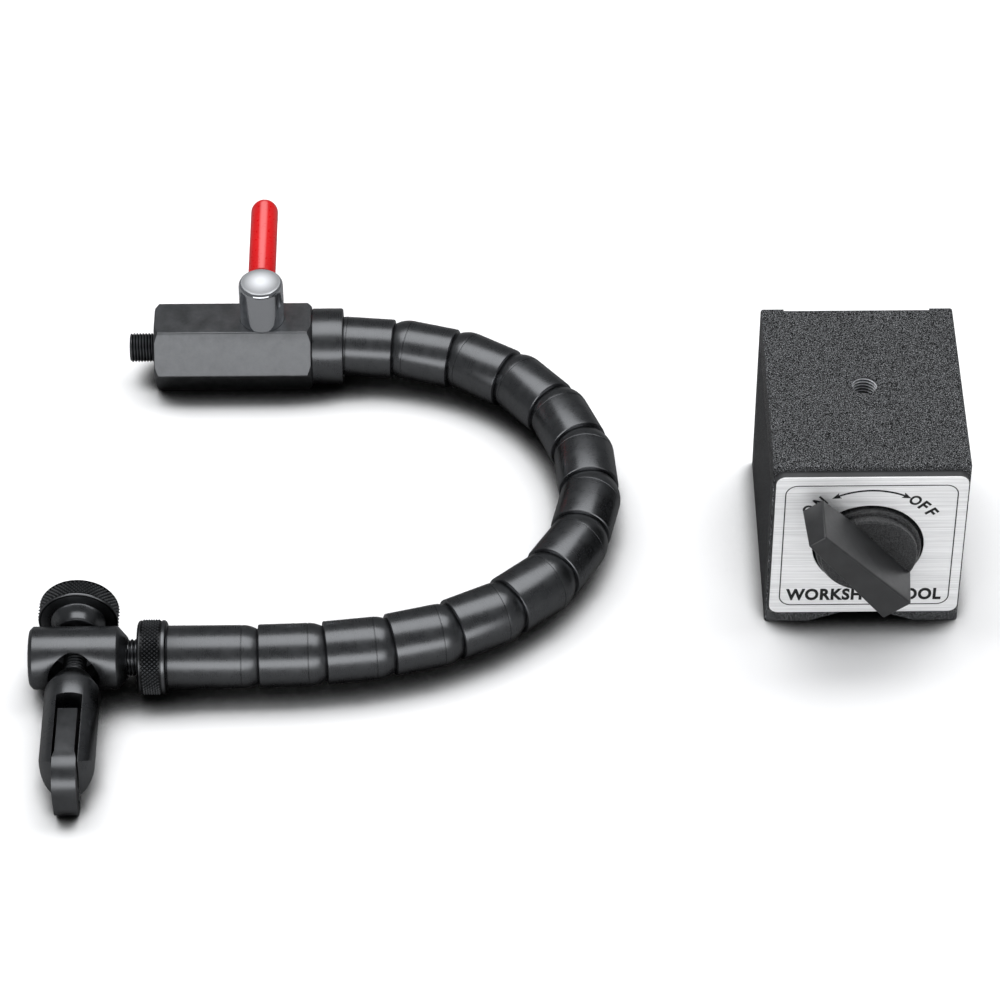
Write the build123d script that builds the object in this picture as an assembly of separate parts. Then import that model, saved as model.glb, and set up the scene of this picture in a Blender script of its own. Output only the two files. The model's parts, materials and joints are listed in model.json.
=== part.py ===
from build123d import *
import math
import os

# Switchable magnetic base with a flexible tool-holder arm lying on the bench beside it.
# Millimetres. Origin: centre of the base's footprint at bench level. +Z is up through the
# tapped hole, -Y is the side with the label and the switch knob, the arm lies on the -X side.

# ---------------------------------------------------------------- magnetic base
BASE_X = 50.0            # width across the two poles
BASE_Y = 60.0            # length along the rotor
BASE_Z = 55.0            # height
EDGE = 0.8               # rounding of the base's outer edges
TOP_T = 9.0              # thickness of the cover's top, which carries the thread
FRONT_T = 4.0            # cover's front wall
REAR_T = 5.5             # cover's rear wall
REAR_CHANNEL_W = 38.0    # shallow channel down the rear face
REAR_CHANNEL_D = 1.1
VEE_W = 27.0             # vee groove along the underside
VEE_D = 5.0
THREAD_R = 4.0           # M8 arm thread, modelled at its major radius
SPLIT_W = 4.0            # brass between the two poles
ROTOR_Z = 29.5           # height of the rotor axis
ROTOR_R = 14.9
ROTOR_GAP = 0.1          # air gap round the rotor
OPENING_R = 16.0         # front wall opening that the rotor goes in through

# ---------------------------------------------------------------- label panel and knob
PANEL_W = 48.4
PANEL_H = 47.6
PANEL_T = 2.1
PANEL_R = 2.4
LABEL_T = 0.4
KNOB_HOLE_R = 14.2
SHAFT_R = 6.0
SCREW_PITCH = 40.0       # square pattern of the panel screws
SCREW_R = 1.5
SCREW_HEAD_R = 2.8
STOP_PIN_R = 1.25
STOP_TRACK_R = 10.5      # radius of the arc track that limits the turn
KNOB_R1 = 13.4           # lower step of the knob's disc
KNOB_R2 = 12.3           # upper step
KNOB_STEP1 = 1.6         # height of the lower step above the label
KNOB_STEP2 = 4.1         # height of the upper step above the label
POINTER_ANGLE = 127.7    # pointer direction at ON, seen from the front, degrees from +X
POINTER_TIP = 25.3       # knob axis to the pointer's thin end
POINTER_TAIL = 11.9      # knob axis to the pointer's thick end
POINTER_TIP_HALF = 3.25
POINTER_TAIL_HALF = 4.85
POINTER_TIP_H = 18.4     # height above the label at the thin end
POINTER_TAIL_H = 14.5    # height above the label at the thick end
POINTER_DRAFT = 2.9      # degrees
POINTER_EDGE = 0.5       # rounding of its edges

# ---------------------------------------------------------------- arm: block end
AXIS_Z = 10.5            # height of the arm's centre line above the bench
ARM_Y = 66.2             # block's centre line
HEX_AF = 21.0
HEX_X0 = -186.4
HEX_X1 = -143.7
STUD_OUT = 7.0           # length of stud standing out of the block
STUD_IN = 12.0
STUD_CHAMFER = 0.4
STUD_RELIEF_L = 0.4      # thread relief where the stud leaves the block
STUD_RELIEF_R = 3.4
STUD_SEAT_R = 3.8        # stud's end fixed in the block
CAM_X = -157.0           # cam shaft's vertical axis
CAM_R = 6.0
CAM_TOP = 34.3
CAM_EDGE = 0.9           # height of the bevel round its top
CAM_EDGE_W = 1.6
CAM_THROW = 1.2          # eccentric's offset
ECCENTRIC_R = 2.5
ECCENTRIC_Z0 = 4.8
ECCENTRIC_Z1 = 16.3
LOWER_JOURNAL_R = 2.4
LOWER_JOURNAL_Z = 0.6    # lower end of the shaft
CLIP_Z = 1.4             # middle of the retaining clip
CLIP_T = 0.5
CLIP_INNER_R = 1.8
CLIP_OUTER_R = 4.3
CLIP_POCKET_R = 5.0
CLIP_POCKET_Z = 2.2
LEVER_Z = 29.6
GRIP_R = 3.7
GRIP_TIP_Y = 103.8
LEVER_ROD_R = 2.0
LEVER_ROD_DEPTH = 4.5    # rod's depth in the shaft
LEVER_ROD_SHORT = 5.0    # rod ends this far inside the grip's tip
PULLER_R = 5.5
PULLER_X0 = -163.5
PULLER_X1 = -147.2
PULLER_RUN = 1.5         # free length of the bore past the puller
SPIGOT_R = 7.0           # collar's spigot in the block
SPIGOT_L = 2.3
COLLAR_R = 10.3
COLLAR_LIP_X = -135.2
FERRULE_L = 3.15
NEAR_FERRULE_R = 2.2
FAR_FERRULE_R = 2.6
FAR_FERRULE_S = 8.05     # start of the far ferrule, from the last ball's centre

# ---------------------------------------------------------------- arm: neck of ball links
BALL_R = 8.0             # ball and tube share one radius
BALL_1_X = -134.0        # first ball's centre
LINK_PITCH = 16.8        # ball centre to ball centre
LIP_BACK = 4.2           # a link's lip stops this far before the next ball's centre
NECK_BORE_R = 3.0
CABLE_R = 1.25
CABLE_GAP = 0.1          # radial room round the cable in its plugs
SEAM = 0.12              # half width and depth of the line between ball and tube
RIM = 0.35               # bevel on a link's lip
REST_BENDS = [6, 11, 16, 18, 18, 17, 17, 18, 18, 14, 12, 8, 5, 2]   # degrees clockwise, sums to 180

# ---------------------------------------------------------------- arm: clamp end
# Distances s run along the last link's heading from the last ball's centre.
# Distances t run across it, towards the slotted end of the bolt.
SLEEVE_END = 18.8
NUT_END = 26.3
NUT_R = 9.6
NUT_FLANGE = 1.3         # smooth ring beside the knurl
CLAMP_STUD_R = 4.7
CLAMP_STUD_S0 = 11.6
CLAMP_STUD_S1 = 34.0
BODY_START = 29.0
BODY_START_R = 5.2
BODY_CHAMFER = 1.0
BODY_FULL = 31.5
BODY_END = 53.8
BODY_R = 8.0
CROSS_S = 42.3           # bolt axis crosses the body here
MOUTH_R = 6.6
MOUTH_FLOOR_T = -3.0
BOLT_R = 7.0
SHANK_R = 3.0
CONE_START_T = 7.3
BAR_START_T = 12.4
SLOT_START_T = 18.7
SLOT_W = 6.6
NOSE_T = 35.2            # the end is rounded sideways about an upright line here
CLAMP_KNOB_R = 10.45
CLAMP_KNOB_T0 = -12.5    # front face of the knurled rim
CLAMP_KNOB_T1 = -18.3
LUG_START_T = 24.4
LUG_FLARE_T = 38.4       # the lug widens from here
LUG_THICK_T = 40.8       # to here
LUG_SHANK_W = 4.9
LUG_EYE_W = 6.0
LUG_HALF_H = 7.3         # half height of the lug's shank
SHOULDER_T = 40.2        # centre of the lug's rounded upper end
SHOULDER_Z = -0.2
SHOULDER_R = 7.5
CHIN_T = 41.5            # centre of its rounded lower end
CHIN_Z = -4.3
CHIN_R = 6.2
EYE_T = 41.6
EYE_DROP = 4.9           # eye centre below the bolt axis
EYE_HOLE_R = 2.9

SLIP = 0.05              # radial clearance of a running fit
FREE = 0.2               # clearance of parts that only pass each other

HALF_X = BASE_X / 2
HALF_Y = BASE_Y / 2
FRONT_Y = -HALF_Y
LABEL_Y = FRONT_Y - PANEL_T - LABEL_T      # front face of the label


# ---------------------------------------------------------------- helpers
def rod(start, end, radius):
    """Round bar between two points."""
    line = Vector(*end) - Vector(*start)
    plane = Plane(origin=start, z_dir=line)
    return plane * Cylinder(radius, line.length, align=(Align.CENTER, Align.CENTER, Align.MIN))


def taper(start, end, start_r, end_r):
    """Cone frustum between two points."""
    line = Vector(*end) - Vector(*start)
    plane = Plane(origin=start, z_dir=line)
    return plane * Cone(start_r, end_r, line.length, align=(Align.CENTER, Align.CENTER, Align.MIN))


def block(x0, x1, y0, y1, z0, z1):
    """Box between two corners."""
    centre = Pos((x0 + x1) / 2, (y0 + y1) / 2, (z0 + z1) / 2)
    return centre * Box(x1 - x0, y1 - y0, z1 - z0)


def turned(axis_plane, profile):
    """Solid of revolution. profile is (distance along axis, radius) points, closed to the axis."""
    first, last = profile[0], profile[-1]
    outline = [(first[0], 0)] + list(profile) + [(last[0], 0)]
    face = make_face(Polyline(*outline, close=True))
    return axis_plane * revolve(face, Axis.X)


def along_x(y, z):
    """Plane whose X runs along +X, for turned parts on the line (y, z)."""
    return Plane(origin=(0, y, z), x_dir=(1, 0, 0), z_dir=(0, 0, 1))


def along_minus_y(x, z):
    """Plane whose X runs towards the front, for turned parts on the line (x, z)."""
    return Plane(origin=(x, 0, z), x_dir=(0, -1, 0), z_dir=(0, 0, 1))


# ---------------------------------------------------------------- base: body
def vee_groove():
    """Prism that cuts the groove along the underside."""
    outline = Polyline((-VEE_W / 2, 0), (0, VEE_D), (VEE_W / 2, 0), (0, -VEE_D), close=True)
    face = Plane(origin=(0, HALF_Y + 1, 0), x_dir=(1, 0, 0), z_dir=(0, -1, 0)) * make_face(outline)
    return extrude(face, BASE_Y + 2)


def housing_cover():
    """Painted cover: top with the arm thread, front wall and rear wall in one piece."""
    body = block(-HALF_X, HALF_X, -HALF_Y, HALF_Y, 0, BASE_Z)
    body = fillet(body.edges().filter_by(Axis.Y).group_by(Axis.Z)[-1], EDGE)
    body = fillet(body.edges().filter_by(Axis.X).group_by(Axis.Z)[-1], EDGE)
    body -= block(-HALF_X - 1, HALF_X + 1, FRONT_Y + FRONT_T, HALF_Y - REAR_T, -1, BASE_Z - TOP_T)
    body -= block(-REAR_CHANNEL_W / 2, REAR_CHANNEL_W / 2, HALF_Y - REAR_CHANNEL_D, HALF_Y + 1, -1, BASE_Z + 1)
    body -= vee_groove()
    body -= rod((0, 0, BASE_Z - TOP_T - 1), (0, 0, BASE_Z + 1), THREAD_R)
    body -= rod((0, FRONT_Y - 1, ROTOR_Z), (0, FRONT_Y + FRONT_T + 1, ROTOR_Z), OPENING_R)
    body -= rod((0, HALF_Y - REAR_T - 1, ROTOR_Z), (0, HALF_Y - REAR_T + 3, ROTOR_Z), 5.0 + SLIP)
    for x, z in screw_places():
        body -= rod((x, FRONT_Y - 1, z), (x, FRONT_Y + FRONT_T - 0.3, z), SCREW_R)
    return body


def pole_space():
    """Room inside the cover, less the groove and the rotor bore."""
    space = block(-HALF_X, HALF_X, FRONT_Y + FRONT_T, HALF_Y - REAR_T, 0, BASE_Z - TOP_T)
    space -= vee_groove()
    return space - rod((0, -HALF_Y, ROTOR_Z), (0, HALF_Y, ROTOR_Z), ROTOR_R + ROTOR_GAP)


def pole_block(side):
    """Steel pole on one side, side is -1 for left and 1 for right."""
    inner = side * SPLIT_W / 2
    outer = side * HALF_X
    return pole_space() & block(min(inner, outer), max(inner, outer), -HALF_Y, HALF_Y, 0, BASE_Z)


def separator(z0, z1):
    """Brass strip brazed between the poles."""
    return pole_space() & block(-SPLIT_W / 2, SPLIT_W / 2, -HALF_Y, HALF_Y, z0, z1)


# ---------------------------------------------------------------- base: rotor
ROTOR_FRONT = FRONT_Y + FRONT_T + 1.0      # front face of the rotor's front cap
CAP_T = 3.0
ROTOR_REAR = HALF_Y - REAR_T - 0.4
MAGNET_HALF = 5.0
DOWEL_X = 9.5
MAGNET_Y0 = ROTOR_FRONT + CAP_T
MAGNET_Y1 = ROTOR_REAR - CAP_T


def rotor_core():
    return rod((0, MAGNET_Y0, ROTOR_Z), (0, MAGNET_Y1, ROTOR_Z), ROTOR_R)


def dowel(x):
    return rod((x, MAGNET_Y0 - 1.2, ROTOR_Z), (x, MAGNET_Y1 + 1.5, ROTOR_Z), SCREW_R)


def rotor_magnet():
    """Ferrite slab across the rotor, flattened top and bottom."""
    return rotor_core() & block(-MAGNET_HALF, MAGNET_HALF, -HALF_Y, HALF_Y, ROTOR_Z - 13.5, ROTOR_Z + 13.5)


def pole_shoe(side):
    inner = side * MAGNET_HALF
    outer = side * (ROTOR_R + 1)
    shoe = rotor_core() & block(min(inner, outer), max(inner, outer), -HALF_Y, HALF_Y, 0, BASE_Z)
    return shoe - dowel(side * DOWEL_X)


def front_cap():
    """Rotor's front cap with the switch shaft and the arc track for the stop pin."""
    cap = rod((0, ROTOR_FRONT, ROTOR_Z), (0, MAGNET_Y0, ROTOR_Z), ROTOR_R)
    cap += rod((0, LABEL_Y - 1.5, ROTOR_Z), (0, ROTOR_FRONT, ROTOR_Z), SHAFT_R)
    track_r = STOP_PIN_R + 0.15
    depth = 1.7
    ring = rod((0, ROTOR_FRONT - 0.1, ROTOR_Z), (0, ROTOR_FRONT + depth, ROTOR_Z), STOP_TRACK_R + track_r)
    ring -= rod((0, ROTOR_FRONT - 0.2, ROTOR_Z), (0, ROTOR_FRONT + depth + 1, ROTOR_Z), STOP_TRACK_R - track_r)
    reach = ROTOR_R + 1
    cap -= ring & block(-reach, 0, -HALF_Y, 0, ROTOR_Z, ROTOR_Z + reach)
    for x, z in ((0, ROTOR_Z + STOP_TRACK_R), (-STOP_TRACK_R, ROTOR_Z)):
        cap -= rod((x, ROTOR_FRONT - 0.1, z), (x, ROTOR_FRONT + depth, z), track_r)
    cap -= rod((0, FRONT_Y - 0.6, ROTOR_Z - SHAFT_R - 1), (0, FRONT_Y - 0.6, ROTOR_Z + SHAFT_R + 1), 1.0)
    for side in (-1, 1):
        cap -= dowel(side * DOWEL_X)
    return cap


def rear_cap():
    cap = rod((0, MAGNET_Y1, ROTOR_Z), (0, ROTOR_REAR, ROTOR_Z), ROTOR_R)
    cap += rod((0, ROTOR_REAR, ROTOR_Z), (0, ROTOR_REAR + 3.2, ROTOR_Z), 5.0)
    for side in (-1, 1):
        cap -= dowel(side * DOWEL_X)
    return cap


# ---------------------------------------------------------------- base: panel, label, knob
def screw_places():
    half = SCREW_PITCH / 2
    return [(x, ROTOR_Z + z) for x in (-half, half) for z in (-half, half)]


def panel_outline(thickness, front_y):
    plane = Plane(origin=(0, front_y, ROTOR_Z), x_dir=(1, 0, 0), z_dir=(0, 1, 0))
    return extrude(plane * RectangleRounded(PANEL_W, PANEL_H, PANEL_R), thickness)


def panel_screw(x, z, clearance=0.0):
    head_y = FRONT_Y - PANEL_T
    head = taper((x, head_y, z), (x, head_y + 1.4, z), SCREW_HEAD_R + clearance, SCREW_R + clearance)
    return head + rod((x, head_y + 1.4, z), (x, FRONT_Y + FRONT_T - 0.6, z), SCREW_R)


def front_panel():
    """Smooth panel that closes the rotor opening and carries the switch shaft."""
    recess_y = FRONT_Y + 1.0
    panel = panel_outline(PANEL_T, FRONT_Y - PANEL_T)
    panel += rod((0, FRONT_Y, ROTOR_Z), (0, FRONT_Y + FRONT_T - 0.2, ROTOR_Z), OPENING_R)
    panel -= rod((0, LABEL_Y - 1, ROTOR_Z), (0, recess_y, ROTOR_Z), KNOB_HOLE_R)
    panel -= rod((0, LABEL_Y, ROTOR_Z), (0, 0, ROTOR_Z), SHAFT_R + SLIP)
    panel -= rod((0, recess_y + 0.6, ROTOR_Z + STOP_TRACK_R), (0, 0, ROTOR_Z + STOP_TRACK_R), STOP_PIN_R)
    for x, z in screw_places():
        panel -= panel_screw(x, z)
    return panel


def label_plate():
    plate = panel_outline(LABEL_T, LABEL_Y)
    return plate - rod((0, LABEL_Y - 1, ROTOR_Z), (0, 0, ROTOR_Z), KNOB_HOLE_R)


def stop_pin():
    z = ROTOR_Z + STOP_TRACK_R
    return rod((0, FRONT_Y + 1.6, z), (0, ROTOR_FRONT + 1.4, z), STOP_PIN_R)


def cut_above(body, point, normal):
    """Keep the part of the body behind a plane."""
    return split(body, bisect_by=Plane(origin=point, z_dir=normal), keep=Keep.BOTTOM)


def knob_pointer():
    """Wedge-shaped grip of the knob, drawn along +X and raised along +Z from the label's face."""
    wedge = block(-POINTER_TAIL - 5, POINTER_TIP + 5, -10, 10, KNOB_STEP2 - 1, POINTER_TIP_H + 5)
    length = POINTER_TIP + POINTER_TAIL
    lean = math.tan(math.radians(POINTER_DRAFT))
    narrowing = (POINTER_TAIL_HALF - POINTER_TIP_HALF) / length
    rise = (POINTER_TIP_H - POINTER_TAIL_H) / length
    wedge = cut_above(wedge, (POINTER_TIP, 0, KNOB_STEP2), (1, 0, lean))
    wedge = cut_above(wedge, (-POINTER_TAIL, 0, KNOB_STEP2), (-1, 0, lean))
    for side in (-1, 1):
        wedge = cut_above(wedge, (POINTER_TIP, side * POINTER_TIP_HALF, KNOB_STEP2), (narrowing, side, lean))
    wedge = cut_above(wedge, (POINTER_TIP, 0, POINTER_TIP_H), (-rise, 0, 1))
    overhang = make_face(Polyline((KNOB_R2 - 0.2, KNOB_STEP2), (POINTER_TIP + 1, KNOB_STEP2 + 2.0),
                                  (POINTER_TIP + 1, 0), (KNOB_R2 - 0.2, 0), close=True))
    wedge -= extrude(Plane.XZ * overhang, 12, both=True)
    return fillet(wedge.edges().filter_by(lambda e: e.center().Z > KNOB_STEP2 + 3.5), POINTER_EDGE)


def knob():
    """Switch knob: stepped disc with the wedge grip, on the rotor shaft."""
    back = FRONT_Y + 0.6
    profile = [(-back, KNOB_R1), (KNOB_STEP1 - LABEL_Y - 0.4, KNOB_R1), (KNOB_STEP1 - LABEL_Y, KNOB_R1 - 0.4),
               (KNOB_STEP1 - LABEL_Y, KNOB_R2), (KNOB_STEP2 - LABEL_Y - 0.4, KNOB_R2),
               (KNOB_STEP2 - LABEL_Y, KNOB_R2 - 0.4)]
    body = turned(along_minus_y(0, ROTOR_Z), profile)
    facing = Plane(origin=(0, LABEL_Y, ROTOR_Z), x_dir=(1, 0, 0), z_dir=(0, -1, 0))
    body += facing * Rot(0, 0, POINTER_ANGLE) * knob_pointer()
    body -= rod((0, 0, ROTOR_Z), (0, LABEL_Y - 1.6, ROTOR_Z), SHAFT_R)
    return body - rod((0, FRONT_Y - 0.6, ROTOR_Z - 12), (0, FRONT_Y - 0.6, ROTOR_Z + 12), 1.0)


def knob_pin():
    """Cross pin through the knob's disc and the shaft."""
    return rod((0, FRONT_Y - 0.6, ROTOR_Z - 11.8), (0, FRONT_Y - 0.6, ROTOR_Z + 11.8), 1.0)


# ---------------------------------------------------------------- arm: block end
ARM_LINE = along_x(ARM_Y, AXIS_Z)


def hex_block():
    """Hexagonal block with its cam hole, puller bore and stud hole."""
    face = Plane(origin=(HEX_X0, ARM_Y, AXIS_Z), x_dir=(0, 1, 0), z_dir=(1, 0, 0)) * RegularPolygon(
        HEX_AF / 2, 6, major_radius=False)
    body = extrude(face, HEX_X1 - HEX_X0)
    corner_r = HEX_AF / math.sqrt(3)
    end_r = HEX_AF / 2 + 0.2
    run = (corner_r - end_r) * math.tan(math.radians(60)) / 2
    body = body & turned(ARM_LINE, [(HEX_X0, end_r), (HEX_X0 + run, corner_r + 0.01),
                                    (HEX_X1 - run, corner_r + 0.01), (HEX_X1, end_r)])
    body -= rod((HEX_X0 - 1, ARM_Y, AXIS_Z), (HEX_X0 + STUD_IN, ARM_Y, AXIS_Z), STUD_SEAT_R)
    body -= rod((PULLER_X0 - PULLER_RUN, ARM_Y, AXIS_Z), (HEX_X1 + 1, ARM_Y, AXIS_Z), PULLER_R + SLIP)
    body -= rod((HEX_X1 - SPIGOT_L, ARM_Y, AXIS_Z), (HEX_X1 + 1, ARM_Y, AXIS_Z), SPIGOT_R)
    body -= rod((CAM_X, ARM_Y, AXIS_Z + 2), (CAM_X, ARM_Y, HEX_AF + 1), CAM_R + SLIP)
    body -= rod((CAM_X, ARM_Y, ECCENTRIC_Z0 - FREE), (CAM_X, ARM_Y, AXIS_Z), CAM_THROW + ECCENTRIC_R + FREE)
    body -= rod((CAM_X, ARM_Y, -1), (CAM_X, ARM_Y, AXIS_Z), LOWER_JOURNAL_R + SLIP)
    return body - rod((CAM_X, ARM_Y, -1), (CAM_X, ARM_Y, CLIP_POCKET_Z), CLIP_POCKET_R)


def base_stud():
    """Threaded stud that screws into the base, fixed in the block."""
    x0 = HEX_X0 - STUD_OUT
    relief = HEX_X0 - STUD_RELIEF_L
    return turned(ARM_LINE, [(x0, THREAD_R - STUD_CHAMFER), (x0 + STUD_CHAMFER, THREAD_R), (relief, THREAD_R),
                             (relief, STUD_RELIEF_R), (HEX_X0, STUD_RELIEF_R), (HEX_X0, STUD_SEAT_R),
                             (HEX_X0 + STUD_IN, STUD_SEAT_R)])


def socket_collar():
    """Collar that holds the first ball."""
    body = turned(ARM_LINE, [(HEX_X1 - SPIGOT_L, SPIGOT_R), (HEX_X1, SPIGOT_R), (HEX_X1, COLLAR_R - 0.5),
                             (HEX_X1 + 0.5, COLLAR_R), (COLLAR_LIP_X - 0.6, COLLAR_R),
                             (COLLAR_LIP_X, COLLAR_R - 0.6)])
    body -= rod((HEX_X1 - 3, ARM_Y, AXIS_Z), (BALL_1_X, ARM_Y, AXIS_Z), NECK_BORE_R + 0.2)
    body -= Pos(BALL_1_X, ARM_Y, AXIS_Z) * Sphere(BALL_R + SLIP)
    return body - taper((BALL_1_X - 3.2, ARM_Y, AXIS_Z), (COLLAR_LIP_X + 0.01, ARM_Y, AXIS_Z), 7.7, 8.7)


def cam_shaft():
    """Vertical shaft with the eccentric that pulls the cable, and the lever's hub on top."""
    shoulder = CAM_TOP - CAM_EDGE
    eccentric_y = ARM_Y + CAM_THROW
    shaft = rod((CAM_X, ARM_Y, ECCENTRIC_Z1), (CAM_X, ARM_Y, shoulder), CAM_R)
    shaft += taper((CAM_X, ARM_Y, shoulder), (CAM_X, ARM_Y, CAM_TOP), CAM_R, CAM_R - CAM_EDGE_W)
    shaft += rod((CAM_X, eccentric_y, ECCENTRIC_Z0), (CAM_X, eccentric_y, ECCENTRIC_Z1), ECCENTRIC_R)
    shaft += rod((CAM_X, ARM_Y, LOWER_JOURNAL_Z), (CAM_X, ARM_Y, ECCENTRIC_Z0), LOWER_JOURNAL_R)
    shaft -= clip_ring(CLIP_T + 0.1, CLIP_OUTER_R)
    return shaft - rod((CAM_X, lever_rod_start(), LEVER_Z), (CAM_X, ARM_Y + CAM_R + 1, LEVER_Z), LEVER_ROD_R)


def clip_ring(thickness, outer_r):
    """Ring round the shaft's lower end, at the clip's height."""
    z0 = CLIP_Z - thickness / 2
    z1 = CLIP_Z + thickness / 2
    return rod((CAM_X, ARM_Y, z0), (CAM_X, ARM_Y, z1), outer_r) - rod(
        (CAM_X, ARM_Y, z0), (CAM_X, ARM_Y, z1), CLIP_INNER_R)


def cam_clip():
    """Open retaining clip under the block."""
    mouth = 1.2
    return clip_ring(CLIP_T, CLIP_OUTER_R) - block(CAM_X - mouth, CAM_X + mouth, ARM_Y - CLIP_POCKET_R, ARM_Y,
                                                   0, CLIP_POCKET_Z)


def lever_rod_start():
    return ARM_Y + CAM_R - LEVER_ROD_DEPTH


def lever_rod():
    return rod((CAM_X, lever_rod_start(), LEVER_Z), (CAM_X, GRIP_TIP_Y - LEVER_ROD_SHORT, LEVER_Z), LEVER_ROD_R)


def lever_grip():
    end_y = GRIP_TIP_Y - GRIP_R
    grip = rod((CAM_X, ARM_Y + CAM_R + 0.3, LEVER_Z), (CAM_X, end_y, LEVER_Z), GRIP_R)
    grip += Pos(CAM_X, end_y, LEVER_Z) * Sphere(GRIP_R)
    return grip - rod((CAM_X, ARM_Y, LEVER_Z), (CAM_X, GRIP_TIP_Y - LEVER_ROD_SHORT, LEVER_Z), LEVER_ROD_R)


def cable_puller():
    """Sliding plug in the block that the eccentric moves along the arm."""
    plug = rod((PULLER_X0, ARM_Y, AXIS_Z), (PULLER_X1, ARM_Y, AXIS_Z), PULLER_R)
    slot = ECCENTRIC_R + 0.1
    slot_half = ECCENTRIC_R + CAM_THROW + 0.3
    plug -= block(CAM_X - slot, CAM_X + slot, ARM_Y - slot_half, ARM_Y + slot_half, 0, HEX_AF)
    plug -= rod((CAM_X, ARM_Y, AXIS_Z), (FERRULE_X1 + SLIP, ARM_Y, AXIS_Z), NEAR_FERRULE_R)
    return plug - rod((CAM_X, ARM_Y, AXIS_Z), (PULLER_X1 + 1, ARM_Y, AXIS_Z), CABLE_R + CABLE_GAP)


FERRULE_X0 = CAM_X + ECCENTRIC_R + 0.3
FERRULE_X1 = FERRULE_X0 + FERRULE_L


def near_ferrule():
    """Bead on the cable's end in the puller."""
    bead = rod((FERRULE_X0, ARM_Y, AXIS_Z), (FERRULE_X1, ARM_Y, AXIS_Z), NEAR_FERRULE_R)
    return bead - rod((FERRULE_X0 - 1, ARM_Y, AXIS_Z), (FERRULE_X1 + 1, ARM_Y, AXIS_Z), CABLE_R)


# ---------------------------------------------------------------- arm: neck
def neck_joints():
    """Centre and heading after the bend of every ball, from the block to the clamp."""
    x, y, heading = BALL_1_X, ARM_Y, 0.0
    joints = []
    for bend in REST_BENDS:
        heading += bend
        joints.append((x, y, heading))
        x += LINK_PITCH * math.cos(math.radians(heading))
        y -= LINK_PITCH * math.sin(math.radians(heading))
    return joints


JOINTS = neck_joints()


def at_joint(index):
    """Location whose origin is a ball's centre and whose X runs along the link."""
    x, y, heading = JOINTS[index]
    return Pos(x, y, AXIS_Z) * Rot(0, 0, -heading)


def ball_end(length):
    """Tube of the given length with a ball end at the origin and a fine line where they meet."""
    body = Sphere(BALL_R) + rod((0, 0, 0), (length, 0, 0), BALL_R)
    seam = rod((-SEAM, 0, 0), (SEAM, 0, 0), BALL_R + 1) - rod((-1, 0, 0), (1, 0, 0), BALL_R - SEAM)
    return body - seam - rod((-BALL_R, 0, 0), (0, 0, 0), NECK_BORE_R)


def neck_link():
    """One link: ball end, tube and the socket for the next ball."""
    lip = LINK_PITCH - LIP_BACK
    body = ball_end(lip) - rod((-1, 0, 0), (lip + 1, 0, 0), NECK_BORE_R)
    body -= Pos(LINK_PITCH, 0, 0) * Sphere(BALL_R + SLIP)
    rim = rod((lip - RIM, 0, 0), (lip + 1, 0, 0), BALL_R + 1)
    return body - (rim - taper((lip - RIM, 0, 0), (lip - RIM + 1, 0, 0), BALL_R, BALL_R - 1))


def end_sleeve():
    """Last tube, which holds the cable's end and the clamp stud."""
    seat = FAR_FERRULE_S - SLIP
    body = ball_end(SLEEVE_END) - rod((-1, 0, 0), (seat - 3, 0, 0), NECK_BORE_R)
    body -= rod((0, 0, 0), (seat, 0, 0), CABLE_R + CABLE_GAP)
    body -= rod((seat, 0, 0), (CLAMP_STUD_S0, 0, 0), FAR_FERRULE_R)
    return body - rod((CLAMP_STUD_S0 - 0.1, 0, 0), (SLEEVE_END + 1, 0, 0), CLAMP_STUD_R + SLIP)


def far_ferrule():
    """Bead on the cable's end in the sleeve."""
    end = FAR_FERRULE_S + FERRULE_L
    return rod((FAR_FERRULE_S, 0, 0), (end, 0, 0), FAR_FERRULE_R) - rod((0, 0, 0), (end + 1, 0, 0), CABLE_R)


def tension_cable():
    """Steel cable through the whole neck, straight at both ends."""
    x0, y0, _ = JOINTS[0]
    balls = [Vector(x, y, AXIS_Z) for x, y, _ in JOINTS]
    start = Vector(FERRULE_X0, y0, AXIS_Z)
    lead_in = Vector(x0 - LIP_BACK, y0, AXIS_Z)
    last_x, last_y, heading = JOINTS[-1]
    ahead = Vector(math.cos(math.radians(heading)), -math.sin(math.radians(heading)), 0)
    lead_out = Vector(last_x, last_y, AXIS_Z) + ahead * LIP_BACK
    end = Vector(last_x, last_y, AXIS_Z) + ahead * (FAR_FERRULE_S + FERRULE_L)
    bend = Spline(lead_in, *balls[1:-1], lead_out, tangents=[(1, 0, 0), tuple(ahead)])
    path = Wire([Edge.make_line(start, lead_in), bend.edge(), Edge.make_line(lead_out, end)])
    return sweep(Plane(origin=start, z_dir=(1, 0, 0)) * Circle(CABLE_R), path=path)


# ---------------------------------------------------------------- arm: clamp end
# Drawn in the last ball's frame: X along the sleeve (s), Y across (t), Z up from the axis.
def lock_nut():
    """Round nut that locks the clamp's stud to the sleeve."""
    flange = SLEEVE_END + NUT_FLANGE
    profile = [(SLEEVE_END, NUT_R - 1.0), (SLEEVE_END + 0.3, NUT_R - 0.45), (SLEEVE_END + 0.8, NUT_R - 0.15),
               (flange, NUT_R - 0.15), (flange, NUT_R - 0.4), (flange + 0.2, NUT_R - 0.4), (flange + 0.2, NUT_R),
               (NUT_END - 0.7, NUT_R), (NUT_END, NUT_R - 0.7)]
    body = turned(Plane.XY, profile)
    return body - rod((SLEEVE_END - 1, 0, 0), (NUT_END + 1, 0, 0), CLAMP_STUD_R + SLIP)


def clamp_stud():
    return turned(Plane.XY, [(CLAMP_STUD_S0, CLAMP_STUD_R - 0.5), (CLAMP_STUD_S0 + 0.5, CLAMP_STUD_R),
                             (CLAMP_STUD_S1, CLAMP_STUD_R)])


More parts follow.
